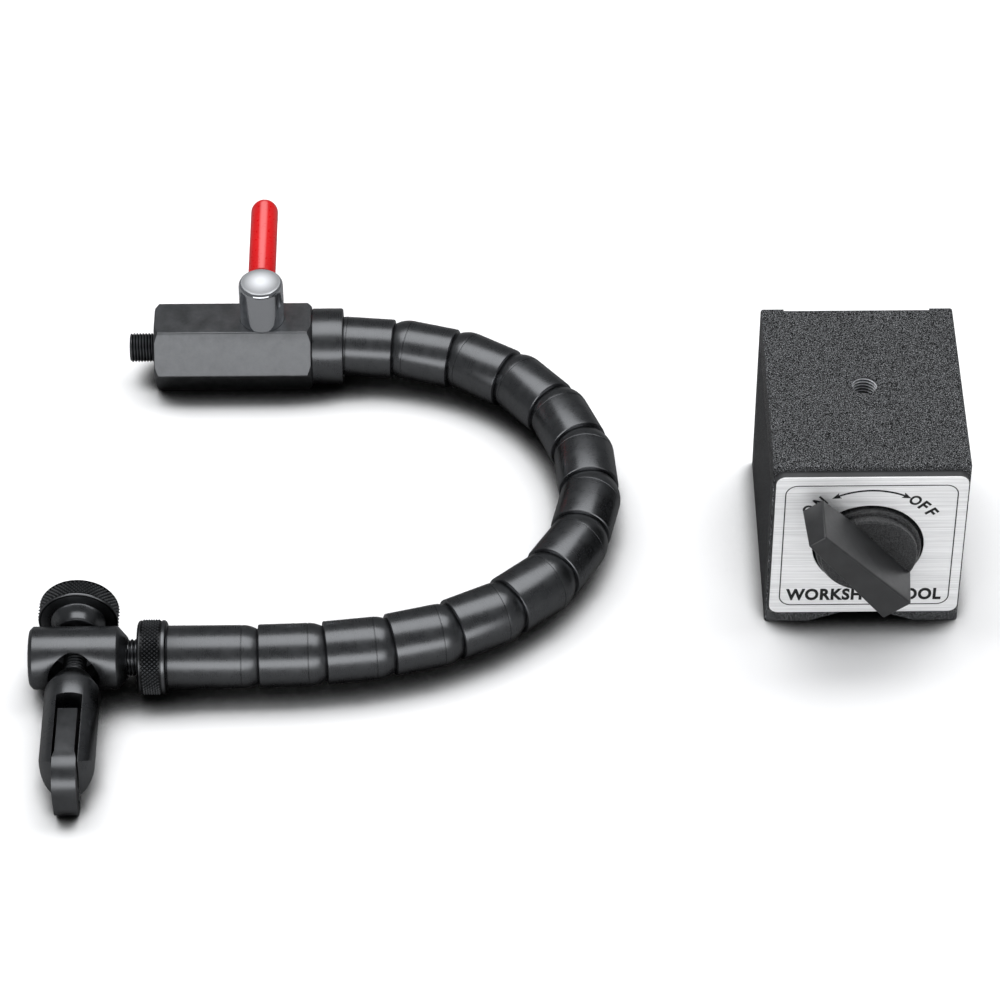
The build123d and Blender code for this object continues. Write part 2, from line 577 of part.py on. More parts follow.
def clamp_body():
    """Cross-drilled body that the slotted bolt pulls into."""
    body = turned(Plane.XY, [(BODY_START, BODY_START_R), (BODY_FULL, BODY_R), (BODY_END - BODY_CHAMFER, BODY_R),
                             (BODY_END, BODY_R - BODY_CHAMFER)])
    body -= rod((BODY_START - 1, 0, 0), (CLAMP_STUD_S1 + 0.1, 0, 0), CLAMP_STUD_R)
    body -= rod((CROSS_S, MOUTH_FLOOR_T, 0), (CROSS_S, BODY_R + 1, 0), MOUTH_R)
    return body - rod((CROSS_S, -BODY_R - 1, 0), (CROSS_S, 0, 0), SHANK_R + 0.1)


def across(profile):
    """Turned part on the bolt's axis, from (t, radius) points."""
    return turned(Plane(origin=(CROSS_S, 0, 0), x_dir=(0, 1, 0), z_dir=(0, 0, 1)), profile)


def slotted_bolt():
    """Bolt with a long slotted head that grips the lug."""
    tip_t = NOSE_T + BOLT_R
    body = across([(CLAMP_KNOB_T1 + 0.4, SHANK_R), (CONE_START_T, SHANK_R), (CONE_START_T, 4.2),
                   (BAR_START_T, BOLT_R), (tip_t, BOLT_R)])
    reach = BOLT_R + 1
    corners = block(CROSS_S - reach, CROSS_S + reach, NOSE_T, tip_t + 1, -reach, reach)
    body -= corners - rod((CROSS_S, NOSE_T, -reach - 1), (CROSS_S, NOSE_T, reach + 1), BOLT_R)
    half = SLOT_W / 2
    return body - block(CROSS_S - half, CROSS_S + half, SLOT_START_T, tip_t + 1, -reach, reach)


def clamp_knob():
    """Knurled knob with a flared boss towards the body."""
    t0 = CLAMP_KNOB_T0
    t1 = CLAMP_KNOB_T1
    rim = CLAMP_KNOB_R
    boss = [(t1, rim - 0.6), (t1 + 0.6, rim), (t0 - 0.5, rim), (t0, rim - 0.5), (t0, 6.8), (t0 + 0.5, 6.6),
            (t0 + 1.2, 5.8), (t0 + 2.2, 5.3), (-9.0, 5.1)]
    return across(boss) - rod((CROSS_S, t1 - 1, 0), (CROSS_S, 0, 0), SHANK_R + SLIP)


def knob_washer():
    ring = rod((CROSS_S, -8.9, 0), (CROSS_S, -8.1, 0), 5.6)
    return ring - rod((CROSS_S, -10, 0), (CROSS_S, -7, 0), SHANK_R + 0.1)


def lug_relief(side):
    """Waste beside the lug's shank, ending at the flare."""
    thin = LUG_SHANK_W / 2
    outline = Polyline((thin, LUG_START_T - 1), (thin, LUG_FLARE_T), (LUG_EYE_W / 2, LUG_THICK_T),
                       (LUG_EYE_W, LUG_THICK_T), (LUG_EYE_W, LUG_START_T - 1), close=True)
    waste = extrude(make_face(outline), 2 * BOLT_R, both=True)
    return Pos(CROSS_S, 0, 0) * (waste if side > 0 else mirror(waste, Plane.YZ))


def swivel_lug():
    """Flat lug held in the slot, with an eye low in its rounded end."""
    side = Plane(origin=(CROSS_S, 0, 0), x_dir=(0, 1, 0), z_dir=(1, 0, 0))
    shank_len = SHOULDER_T - LUG_START_T
    profile = Pos((LUG_START_T + SHOULDER_T) / 2, 0) * Rectangle(shank_len, 2 * LUG_HALF_H)
    profile += Pos(SHOULDER_T, SHOULDER_Z) * Circle(SHOULDER_R)
    profile += Pos(CHIN_T, CHIN_Z) * Circle(CHIN_R)
    front = Polyline((SHOULDER_T, SHOULDER_Z), (SHOULDER_T + SHOULDER_R, SHOULDER_Z), (CHIN_T + CHIN_R, CHIN_Z),
                     (CHIN_T, CHIN_Z), close=True)
    profile += make_face(front)
    body = extrude(side * profile, LUG_EYE_W / 2, both=True)
    body -= lug_relief(1)
    body -= lug_relief(-1)
    hole = (CROSS_S - LUG_EYE_W, EYE_T, -EYE_DROP), (CROSS_S + LUG_EYE_W, EYE_T, -EYE_DROP)
    return body - rod(*hole, EYE_HOLE_R)


# ---------------------------------------------------------------- all nodes
def at_clamp(shape):
    return at_joint(-1) * shape


def build():
    nodes = {
        "housing_cover": housing_cover(),
        "pole_block_left": pole_block(-1),
        "pole_block_right": pole_block(1),
        "separator_bottom": separator(0, ROTOR_Z),
        "separator_top": separator(ROTOR_Z, BASE_Z),
        "front_panel": front_panel(),
        "label_plate": label_plate(),
        "panel_screws": Compound([panel_screw(x, z) for x, z in screw_places()]),
        "stop_pin": stop_pin(),
        "rotor_magnet": rotor_magnet(),
        "rotor_pole_shoes": Compound([pole_shoe(-1), pole_shoe(1)]),
        "rotor_dowels": Compound([dowel(-DOWEL_X), dowel(DOWEL_X)]),
        "rotor_front_cap": front_cap(),
        "rotor_rear_cap": rear_cap(),
        "switch_knob": knob(),
        "knob_pin": knob_pin(),
        "hex_block": hex_block(),
        "base_stud": base_stud(),
        "socket_collar": socket_collar(),
        "cam_shaft": cam_shaft(),
        "cam_clip": cam_clip(),
        "lever_rod": lever_rod(),
        "lever_grip": lever_grip(),
        "cable_puller": cable_puller(),
        "near_ferrule": near_ferrule(),
        "tension_cable": tension_cable(),
        "end_sleeve": at_clamp(end_sleeve()),
        "far_ferrule": at_clamp(far_ferrule()),
        "lock_nut": at_clamp(lock_nut()),
        "clamp_stud": at_clamp(clamp_stud()),
        "clamp_body": at_clamp(clamp_body()),
        "slotted_bolt": at_clamp(slotted_bolt()),
        "clamp_knob": at_clamp(clamp_knob()),
        "knob_washer": at_clamp(knob_washer()),
        "swivel_lug": at_clamp(swivel_lug()),
    }
    link = neck_link()
    for index in range(len(JOINTS) - 1):
        nodes[f"neck_link_{index + 1:02d}"] = at_joint(index) * link
    return nodes


os.makedirs("parts", exist_ok=True)
for name, shape in build().items():
    shape.label = name
    export_step(shape, f"parts/{name}.step")
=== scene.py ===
import json
import math

import bmesh
import bpy
from mathutils import Matrix, Vector


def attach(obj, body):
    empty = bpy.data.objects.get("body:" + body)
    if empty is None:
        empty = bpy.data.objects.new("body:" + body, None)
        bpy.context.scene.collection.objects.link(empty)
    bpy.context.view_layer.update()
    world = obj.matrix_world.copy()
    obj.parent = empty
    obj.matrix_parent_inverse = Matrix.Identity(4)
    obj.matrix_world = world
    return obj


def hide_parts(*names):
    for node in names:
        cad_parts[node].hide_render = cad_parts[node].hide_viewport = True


# Looks of a switchable magnetic base and its flexible arm. Lengths are in millimetres and become metres in
# mesh_object(), but materials and the studio work in metres. Turned parts are drawn along their own X axis,
# and along() gives their placement.

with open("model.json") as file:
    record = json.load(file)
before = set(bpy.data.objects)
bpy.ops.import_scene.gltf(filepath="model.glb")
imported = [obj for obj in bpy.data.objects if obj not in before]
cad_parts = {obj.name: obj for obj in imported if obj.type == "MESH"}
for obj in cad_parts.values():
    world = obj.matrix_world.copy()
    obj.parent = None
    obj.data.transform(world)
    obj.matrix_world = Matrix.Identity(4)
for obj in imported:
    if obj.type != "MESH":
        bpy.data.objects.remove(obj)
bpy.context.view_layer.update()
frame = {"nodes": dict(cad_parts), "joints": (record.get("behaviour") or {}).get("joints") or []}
MM = 0.001
SEG = 96                 # segments round a turned part
SLIVER = 0.001 * MM      # vertices closer than this are one
JOINTS = {joint["name"]: joint for joint in frame["joints"]}
NODES = frame["nodes"]


def joint_point(name):
    return Vector(JOINTS[name]["pos_m"]) / MM


BALLS = [joint_point(f"neck_bend_{index:02d}") for index in range(1, 15)]
ARM_Y = BALLS[0].y
AXIS_Z = BALLS[0].z
PITCH = (BALLS[1] - BALLS[0]).length

# ---------------------------------------------------------------- dimensions of the CAD model
BASE_X, BASE_Y, BASE_Z = 50.0, 60.0, 55.0
TOP_T, FRONT_T, REAR_T = 9.0, 4.0, 5.5
REAR_CHANNEL_W, REAR_CHANNEL_D = 38.0, 1.1
VEE_W, VEE_D = 27.0, 5.0
ROTOR_Z = 29.5
OPENING_R = 16.0
LABEL_Y = -32.5
HEX_AF = 21.0
HEX_X0, HEX_X1 = -186.4, -143.7
SPIGOT_L = 2.3           # part of the socket collar inside the block
STUD_R, STUD_OUT, STUD_IN = 4.0, 7.0, 12.0
STUD_PITCH = 0.8
CAM_X, CAM_R, CAM_TOP = -157.0, 6.0, 34.3
GRIP_R, GRIP_TIP_Y, LEVER_Z = 3.7, 103.8, 29.6
BALL_R, SOCKET_R, LIP_BACK, BORE_R, CABLE_R = 8.0, 8.05, 4.2, 3.0, 1.25
MOUTH_R, MOUTH_END = 3.6, -6.2   # flared mouth of a ball's bore and where it has narrowed to BORE_R
SLEEVE_END, NUT_END, NUT_R = 18.8, 26.3, 9.6
CLAMP_STUD_R = 4.7
BODY_START, BODY_FULL, BODY_END, BODY_R = 29.0, 31.5, 53.8, 8.0
CROSS_S = 42.3
SHANK_R, BOLT_R = 3.0, 7.0
SLOT_START_T, SLOT_W, NOSE_T = 18.7, 6.6, 35.2
KNOB_R, KNOB_T0, KNOB_T1 = 10.45, -12.5, -18.3


# ---------------------------------------------------------------- mesh helpers
def along(origin, direction, up=(0, 0, 1)):
    """Placement whose X axis runs along direction from origin."""
    x = Vector(direction).normalized()
    y = Vector(up).cross(x).normalized()
    z = x.cross(y)
    place = Matrix((x, y, z)).transposed().to_4x4()
    place.translation = Vector(origin) * MM
    return place


def mesh_object(name, verts, faces, place=None):
    """Object from millimetre vertices, with outward normals."""
    mesh = bpy.data.meshes.new(name)
    mesh.from_pydata([[c * MM for c in v] for v in verts], [], faces)
    shell = bmesh.new()
    shell.from_mesh(mesh)
    bmesh.ops.remove_doubles(shell, verts=shell.verts, dist=1e-7)
    bmesh.ops.recalc_face_normals(shell, faces=shell.faces)
    shell.to_mesh(mesh)
    shell.free()
    obj = bpy.data.objects.new(name, mesh)
    bpy.context.collection.objects.link(obj)
    if place is not None:
        obj.matrix_world = place
    return obj


def ring_verts(points, segments):
    verts = []
    for k, (x, r) in enumerate(points):
        angle = 2 * math.pi * k / segments
        verts.append((x, r * math.cos(angle), r * math.sin(angle)))
    return verts


def turned(name, rows, place, segments=SEG, wrap=False):
    """Solid of revolution about X.

    A row is (x, r), or (list of (x, r) per segment, lattice index). Rows that carry a lattice
    index are joined by triangles whose shared edge follows the knurl's grooves.
    """
    verts, faces, rings = [], [], []
    for row in rows:
        points, lattice = row if isinstance(row[0], list) else ([row] * segments, None)
        if max(r for _, r in points) < 1e-9:
            rings.append(([len(verts)], None))
            verts.append((points[0][0], 0.0, 0.0))
            continue
        rings.append((list(range(len(verts), len(verts) + segments)), lattice))
        verts.extend(ring_verts(points, segments))
    pairs = list(zip(rings, rings[1:]))
    if wrap:
        pairs.append((rings[-1], rings[0]))
    for (a, lattice_a), (b, lattice_b) in pairs:
        for k in range(segments):
            n = (k + 1) % segments
            if len(a) == 1:
                faces.append((a[0], b[k], b[n]))
            elif len(b) == 1:
                faces.append((a[k], a[n], b[0]))
            elif lattice_a is None or lattice_b is None:
                faces.append((a[k], a[n], b[n], b[k]))
            elif (k + lattice_a) % 2 == 0:
                faces += [(a[k], a[n], b[n]), (a[k], b[n], b[k])]
            else:
                faces += [(a[k], a[n], b[k]), (a[n], b[n], b[k])]
    return mesh_object(name, verts, faces, place)


def knurl(x0, x1, valley, peak, count, segments=SEG):
    """Rows of a diamond knurl: count half pitches along X, segments half pitches round it."""
    rows = []
    for j in range(count + 1):
        x = x0 + (x1 - x0) * j / count
        raised = 0 < j < count
        points = [(x, peak if raised and (i + j) % 2 else valley) for i in range(segments)]
        rows.append((points, j))
    return rows


def thread(x0, x1, major, depth, pitch, segments=SEG, steps=10, lead_in=0.0, lead_out=0.0):
    """Rows of a right-hand thread, with bevels at its ends."""
    count = max(2, round((x1 - x0) / pitch * steps))
    rows = []
    for i in range(count + 1):
        x = x0 + (x1 - x0) * i / count
        points = []
        for k in range(segments):
            phase = (x / pitch - k / segments) % 1.0
            r = major - depth * abs(2 * phase - 1) ** 1.3
            if lead_in:
                r = min(r, major - lead_in + (x - x0))
            if lead_out:
                r = min(r, major - lead_out + (x1 - x))
            points.append((x, r))
        rows.append((points, None))
    return rows


def arc_rows(centre, radius, start, end, steps):
    """Rows on a circle about (centre, 0); angles in degrees from -X towards +r."""
    rows = []
    for i in range(steps + 1):
        angle = math.radians(start + (end - start) * i / steps)
        rows.append((centre - radius * math.cos(angle), radius * math.sin(angle)))
    return rows


def box_object(name, x0, x1, y0, y1, z0, z1, place=None):
    verts = [(x, y, z) for x in (x0, x1) for y in (y0, y1) for z in (z0, z1)]
    faces = [(0, 1, 3, 2), (4, 6, 7, 5), (0, 4, 5, 1), (2, 3, 7, 6), (0, 2, 6, 4), (1, 5, 7, 3)]
    return mesh_object(name, verts, faces, place)


def bar(place, x0, x1, radius, segments=SEG):
    """Plain round cutter along a placement's X."""
    return turned("tool", [(x0, 0), (x0, radius), (x1, radius), (x1, 0)], place, segments)


def prism(name, outline, depth0, depth1, place=None):
    """Polygon (x, z) swept along Y from depth0 to depth1."""
    count = len(outline)
    verts = [(x, y, z) for y in (depth0, depth1) for x, z in outline]
    faces = [list(range(count)), list(range(count, 2 * count))]
    faces += [(i, (i + 1) % count, count + (i + 1) % count, count + i) for i in range(count)]
    return mesh_object(name, verts, faces, place)


def band(name, outer, inner, depth0, depth1):
    """Closed flat band between two (x, z) outlines with the same number of points."""
    count = len(outer)
    verts = [(x, y, z) for y in (depth0, depth1) for ring in (outer, inner) for x, z in ring]
    faces = []
    for i in range(count):
        n = (i + 1) % count
        for a, b in ((0, 1), (3, 2), (2, 0), (1, 3)):
            faces.append((a * count + i, a * count + n, b * count + n, b * count + i))
    return mesh_object(name, verts, faces)


def weld(mesh):
    """Join touching vertices and clear away slivers."""
    shell = bmesh.new()
    shell.from_mesh(mesh)
    bmesh.ops.remove_doubles(shell, verts=shell.verts, dist=SLIVER)
    bmesh.ops.dissolve_degenerate(shell, edges=shell.edges, dist=SLIVER)
    shell.to_mesh(mesh)
    shell.free()


def bake(obj):
    graph = bpy.context.evaluated_depsgraph_get()
    mesh = bpy.data.meshes.new_from_object(obj.evaluated_get(graph))
    weld(mesh)
    obj.modifiers.clear()
    obj.data = mesh


def combine(obj, tool, operation="DIFFERENCE"):
    modifier = obj.modifiers.new("combine", "BOOLEAN")
    modifier.object = tool
    modifier.operation = operation
    modifier.solver = "EXACT"
    bake(obj)
    bpy.data.objects.remove(tool)
    return obj


def bevel(obj, width, angle=32, segments=2):
    modifier = obj.modifiers.new("bevel", "BEVEL")
    modifier.width = width * MM
    modifier.segments = segments
    modifier.limit_method = "ANGLE"
    modifier.angle_limit = math.radians(angle)
    bake(obj)
    return obj


def finish(obj, body, material, stands_for=(), crease=30):
    """Shading, material, body and the CAD nodes a piece stands for."""
    obj.data.materials.clear()
    obj.data.materials.append(material)
    obj.data.shade_smooth()
    obj.data.set_sharp_from_angle(angle=math.radians(crease))
    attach(obj, body)
    if stands_for:
        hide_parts(*stands_for)
    return obj


# ---------------------------------------------------------------- materials
class Finish:
    """A Principled material with helpers for its procedural inputs."""

    def __init__(self, name, **values):
        self.material = bpy.data.materials.new(name)
        self.material.use_nodes = True
        self.tree = self.material.node_tree
        self.shader = self.tree.nodes["Principled BSDF"]
        self.coords = self.node("ShaderNodeTexCoord").outputs["Object"]
        for key, value in values.items():
            if key == "Base":
                value = tuple(value) + (1.0,)
                key = "Base Color"
            self.shader.inputs[key.replace("_", " ")].default_value = value

    def node(self, kind, **inputs):
        node = self.tree.nodes.new(kind)
        for key, value in inputs.items():
            socket = node.inputs[key.replace("_", " ")]
            if hasattr(value, "is_output"):
                self.tree.links.new(value, socket)
            else:
                socket.default_value = value
        return node

    def stretched(self, x, y, z):
        mapping = self.node("ShaderNodeMapping", Vector=self.coords, Scale=(x, y, z))
        return mapping.outputs["Vector"]

    def noise(self, scale, detail=2.0, rough=0.5, vector=None):
        node = self.node("ShaderNodeTexNoise", Vector=vector or self.coords, Scale=scale, Detail=detail,
                         Roughness=rough)
        return node.outputs["Fac"]

    def spread(self, value, low, high, start=0.3, stop=0.7):
        """Map value from start..stop to low..high, clamped."""
        node = self.tree.nodes.new("ShaderNodeMapRange")
        self.tree.links.new(value, node.inputs["Value"])
        for key, number in (("From Min", start), ("From Max", stop), ("To Min", low), ("To Max", high)):
            node.inputs[key].default_value = number
        return node.outputs["Result"]

    def math(self, operation, a, b=0.0):
        node = self.tree.nodes.new("ShaderNodeMath")
        node.operation = operation
        for socket, value in zip(node.inputs, (a, b)):
            if hasattr(value, "is_output"):
                self.tree.links.new(value, socket)
            else:
                socket.default_value = value
        return node.outputs["Value"]

    def blend(self, factor, a, b):
        """Mix of two numbers or value outputs."""
        return self.math("ADD", self.math("MULTIPLY", self.math("SUBTRACT", 1.0, factor), a),
                         self.math("MULTIPLY", factor, b))

    def tinted(self, value, tint):
        """Grey value multiplied by a colour."""
        node = self.tree.nodes.new("ShaderNodeVectorMath")
        node.operation = "SCALE"
        node.inputs[0].default_value = tint
        self.tree.links.new(value, node.inputs["Scale"])
        return node.outputs["Vector"]

    def summed(self, a, b):
        """Sum of two colours."""
        node = self.tree.nodes.new("ShaderNodeVectorMath")
        node.operation = "ADD"
        self.tree.links.new(a, node.inputs[0])
        self.tree.links.new(b, node.inputs[1])
        return node.outputs["Vector"]

    def bump(self, height, strength, distance):
        node = self.node("ShaderNodeBump", Height=height, Strength=strength, Distance=distance)
        self.set("Normal", node.outputs["Normal"])

    def set(self, name, output):
        self.tree.links.new(output, self.shader.inputs[name])

    def axis(self, vector, index):
        node = self.node("ShaderNodeSeparateXYZ", Vector=vector)
        return node.outputs[index]

    def radius(self):
        """Distance from the part's X axis, in metres."""
        node = self.node("ShaderNodeVectorMath")
        node.operation = "LENGTH"
        self.tree.links.new(self.stretched(0, 1, 1), node.inputs[0])
        return node.outputs["Value"]

    def normal_axis(self, index):
        return self.axis(self.node("ShaderNodeTexCoord").outputs["Normal"], index)


COOL = (0.93, 0.957, 1.0)    # tint of the greys
PAINTED_SIDE_SHADE = 0.6              # painted shade: darkening of the paint on the pole side faces against the rest


def crackle(f):
    """Speckled crackle pattern: paint tone and relief."""
    grain = f.noise(4300, 0.0)
    worms = f.spread(grain, 0.0, 1.0, 0.30, 0.72)
    flecks = f.spread(f.noise(3800, 0.0), 0.0, 1.0, 0.62, 0.74)
    tone = f.math("ADD", f.spread(worms, 0.0, 0.095, 0.18, 1.0), f.math("MULTIPLY", flecks, 0.23))
    return tone, worms


def crackle_paint():
    """Crackle coat, with painted shade that deepens it on the two pole side faces."""
    f = Finish("crackle_paint", Metallic=0.0)
    side_shade_mask = f.spread(f.math("ABSOLUTE", f.normal_axis(0)), 1.0, 0.0, 0.85, 0.97)
    paint, worms = crackle(f)
    # painted shade: the paint is darkened on the faces that look along X
    tone = f.math("MULTIPLY", paint, f.spread(side_shade_mask, PAINTED_SIDE_SHADE, 1.0, 0.0, 1.0))
    f.set("Base Color", f.tinted(tone, COOL))
    f.set("Specular IOR Level", f.spread(side_shade_mask, 0.2, 0.04, 0.0, 1.0))
    f.set("Roughness", f.spread(worms, 0.6, 0.38, 0.3, 0.7))
    f.bump(worms, 0.7, 0.00009)
    return f.material


def smooth_paint():
    f = Finish("smooth_paint", Metallic=0.0, Specular_IOR_Level=0.5)
    cloud = f.noise(160, 3.0)
    f.set("Base Color", f.tinted(f.spread(cloud, 0.040, 0.052), COOL))
    f.set("Roughness", f.spread(f.noise(900, 2.0), 0.40, 0.52))
    f.bump(f.noise(5200, 2.0), 0.12, 0.00003)
    return f.material


def pole_steel():
    """Crackle coat on the outer side, darkened there by painted shade; ground steel elsewhere."""
    f = Finish("pole_steel")
    outer = BASE_X / 2 * MM
    side = f.spread(f.math("ABSOLUTE", f.axis(f.coords, 0)), 0.0, 1.0, outer - 0.06 * MM, outer - 0.02 * MM)
    scratches = f.noise(1.0, 4.0, 0.6, f.stretched(5200, 60, 5200))
    steel = f.spread(scratches, 0.42, 0.66)
    paint, worms = crackle(f)
    # painted shade: the crackle on the outer side is darkened by the side factor
    f.set("Base Color", f.tinted(f.blend(side, steel, f.math("MULTIPLY", paint, PAINTED_SIDE_SHADE)), COOL))
    f.set("Metallic", f.math("SUBTRACT", 1.0, side))
    f.set("Specular IOR Level", f.spread(side, 0.5, 0.04, 0.0, 1.0))
    f.set("Roughness", f.blend(side, f.spread(scratches, 0.22, 0.4), 0.5))
    f.bump(f.blend(side, f.math("MULTIPLY", scratches, 0.1), worms), 0.5, 0.00006)
    return f.material


def dark_metal(name="dark_metal", low=0.21, high=0.25, rough=0.28):
    """Black-oxide steel with faint turning lines round the part's X axis."""
    f = Finish(name, Metallic=1.0)
    cloud = f.noise(260, 3.0, 0.6)
    lines = f.noise(1.0, 3.0, 0.7, f.stretched(7000, 8, 8))
    f.set("Base Color", f.tinted(f.spread(cloud, low, high), COOL))
    f.set("Roughness", f.math("ADD", f.spread(cloud, rough - 0.03, rough + 0.05),
                              f.spread(lines, -0.03, 0.05)))
    f.bump(f.math("ADD", f.math("MULTIPLY", lines, 0.6), f.noise(4200, 2.0)), 0.05, 0.00003)
    return f.material


def hex_coat():
    """Matt dark coat with soft mottling and a few hair scratches."""
    f = Finish("hex_coat", Metallic=1.0)
    cloud = f.noise(260, 5.0, 0.7)
    hair = f.noise(1.0, 2.0, 0.5, f.stretched(900, 5200, 1600))
    scratch = f.spread(hair, 0.0, 1.0, 0.70, 0.74)
    tone = f.math("ADD", f.spread(cloud, 0.200, 0.290), f.math("MULTIPLY", scratch, 0.04))
    f.set("Base Color", f.tinted(tone, COOL))
    f.set("Roughness", f.spread(cloud, 0.34, 0.42))
    f.bump(f.math("ADD", f.noise(1700, 4.0, 0.7), scratch), 0.10, 0.00004)
    return f.material


def label_aluminium():
    """Aluminium brushed along X."""
    f = Finish("label_aluminium", Metallic=0.4)
    fine = f.noise(1.0, 3.0, 0.75, f.stretched(45, 200, 4600))
    wide = f.noise(1.0, 2.0, 0.5, f.stretched(30, 200, 1500))
    streak = f.math("ADD", f.math("MULTIPLY", fine, 0.75), f.math("MULTIPLY", wide, 0.25))
    f.set("Base Color", f.tinted(f.spread(streak, 0.76, 1.0, 0.38, 0.60), (0.985, 0.99, 1.0)))
    f.set("Roughness", f.spread(fine, 0.30, 0.46))
    f.bump(fine, 0.10, 0.00003)
    return f.material


def knob_plastic():
    """Dark grey plastic, speckled on the disc and smoother on the grip."""
    f = Finish("knob_plastic", Specular_IOR_Level=1.0)
    disc = f.spread(f.axis(f.coords, 1), 0.0, 1.0, -0.03672, -0.03660)
    speck = f.spread(f.noise(2600, 2.0, 0.6), 0.0, 1.0, 0.42, 0.60)
    tone = f.spread(f.noise(300, 3.0), 0.020, 0.028)
    f.set("Base Color", f.tinted(f.blend(disc, tone, f.spread(speck, 0.008, 0.050, 0.0, 1.0)), COOL))
    f.set("Roughness", f.spread(f.noise(700, 2.0), 0.28, 0.36))
    relief = f.math("ADD", f.math("MULTIPLY", speck, disc), f.math("MULTIPLY", f.noise(6000, 1.0), 0.15))
    f.bump(relief, 0.5, 0.00006)
    return f.material


def chrome():
    """Chrome plate; the domed end has a dull finish, with a painted highlight that makes it palest in the
    middle.
    """
    f = Finish("chrome")
    smear = f.noise(220, 3.0, 0.6)
    end = f.spread(f.normal_axis(0), 0.0, 1.0, 0.80, 0.97)
    # painted highlight: the end's colour is lightest at the axis and darkens towards its rim
    painted_end_highlight = f.spread(f.radius(), 0.74, 0.16, 0.0012, 0.0054)
    f.set("Base Color", f.tinted(f.blend(end, f.spread(smear, 0.94, 1.0), painted_end_highlight), COOL))
    f.set("Metallic", f.blend(end, 1.0, 0.1))
    f.set("Roughness", f.blend(end, f.spread(smear, 0.05, 0.09), 0.30))
    f.bump(f.noise(900, 2.0), 0.02, 0.00002)
    return f.material


def red_plastic():
    """Glossy moulded plastic with a painted highlight, a light streak along its upper side."""
    f = Finish("red_plastic", Specular_IOR_Level=0.35, Coat_Weight=0.35, Coat_Roughness=0.08)
    cloud = f.noise(140, 3.0)
    # painted highlight: a light streak is added to the base colour where the surface faces straight up
    streak = f.spread(f.normal_axis(2), 0.0, 1.0, 0.945, 0.992)
    red = f.tinted(f.spread(cloud, 0.50, 0.57), (1.0, 0.006, 0.009))
    painted_highlight = f.tinted(f.math("MULTIPLY", streak, 0.16), (0.9, 0.80, 0.80))
    f.set("Base Color", f.summed(red, painted_highlight))
    f.set("Roughness", f.spread(f.noise(1500, 2.0), 0.26, 0.36))
    f.bump(f.noise(2500, 2.0), 0.03, 0.00003)
    return f.material


def bare_steel(name, low, high, rough=0.3, tint=COOL):
    f = Finish(name, Metallic=1.0)
    grain = f.noise(1.0, 3.0, 0.7, f.stretched(4200, 900, 4200))
    f.set("Base Color", f.tinted(f.spread(grain, low, high), tint))
    f.set("Roughness", f.spread(grain, rough - 0.08, rough + 0.08))
    f.bump(grain, 0.06, 0.00002)
    return f.material


def cut_thread(crest, root):
    """Freshly cut inside thread, bright on its crests and darkened down in its roots by painted shade; radii
    in mm.
    """
    f = Finish("cut_thread", Metallic=0.4)
    grain = f.spread(f.noise(2600, 3.0), 0.85, 1.0)
    # painted shade: the colour falls to almost black towards the thread's roots
    depth = f.spread(f.radius(), 0.95, 0.02, crest * MM, root * MM)
    f.set("Base Color", f.tinted(f.math("MULTIPLY", grain, depth), COOL))
    f.set("Roughness", f.spread(f.noise(1400, 2.0), 0.26, 0.40))
    return f.material


def worn_and_shaded_metal(name, valley, peak):
    """Black-oxide steel, worn bright on the peaks of a knurl or thread and darkened in its valleys by
    painted shade; radii in mm.
    """
    f = Finish(name, Metallic=1.0)
    cloud = f.noise(260, 3.0, 0.6)
    # painted shade in the valleys and wear on the peaks: the colour runs from dark at the valley radius to
    # bright at the peak
    worn_and_shaded = f.spread(f.radius(), 0.05, 0.40, valley * MM, peak * MM)
    plain = f.spread(f.radius(), 0.21, 0.0, (valley - 0.4) * MM, (valley - 0.3) * MM)
    tone = f.math("MULTIPLY", f.math("MAXIMUM", worn_and_shaded, plain), f.spread(cloud, 0.9, 1.1))
    f.set("Base Color", f.tinted(tone, COOL))
    f.set("Roughness", f.spread(cloud, 0.26, 0.34))
    f.bump(f.noise(4200, 2.0), 0.05, 0.00003)
    return f.material


def matt(name, low, high, rough=0.7):
    f = Finish(name)
    grain = f.noise(1300, 4.0, 0.6)
    f.set("Base Color", f.tinted(f.spread(grain, low, high), COOL))
    f.set("Roughness", f.spread(grain, rough - 0.08, rough + 0.08))
    f.bump(grain, 0.15, 0.00003)
    return f.material


CRACKLE = crackle_paint()
SMOOTH = smooth_paint()
POLE = pole_steel()
DARK = dark_metal()
DARK_FLAT = dark_metal("dark_metal_flat", 0.19, 0.23, 0.31)
HEX = hex_coat()
LABEL = label_aluminium()
INK = matt("label_ink", 0.006, 0.012, 0.5)
PLASTIC = knob_plastic()
CHROME = chrome()
RED = red_plastic()
STEEL = bare_steel("bare_steel", 0.45, 0.66)
BRIGHT = cut_thread(3.1, 3.55)
NUT_STEEL = worn_and_shaded_metal("nut_steel", NUT_R - 0.5, NUT_R)
KNOB_STEEL = worn_and_shaded_metal("knob_steel", KNOB_R - 0.55, KNOB_R)
STUD_STEEL = worn_and_shaded_metal("stud_steel", STUD_R - 0.4, STUD_R)
CLAMP_STUD_STEEL = worn_and_shaded_metal("clamp_stud_steel", CLAMP_STUD_R - 0.5, CLAMP_STUD_R)
GROUND = bare_steel("ground_steel", 0.40, 0.58, 0.34)
BRASS = bare_steel("brass", 0.55, 0.72, 0.32, (1.0, 0.74, 0.36))
ZINC = bare_steel("zinc", 0.38, 0.52, 0.42)
FERRITE = matt("ferrite", 0.018, 0.030, 0.75)
ROPE = bare_steel("wire_rope", 0.30, 0.46, 0.4)


# ---------------------------------------------------------------- base
UPRIGHT = along((0, 0, 0), (0, 0, 1), (0, 1, 0))
HOLE_SKIN = 0.35         # paint and steel left over the thread
HOLE_R = 3.2             # hole through that skin
SEAT_R = 4.45            # outside of the threaded sleeve in the top
JOURNAL_R = 5.05         # rear bearing of the rotor


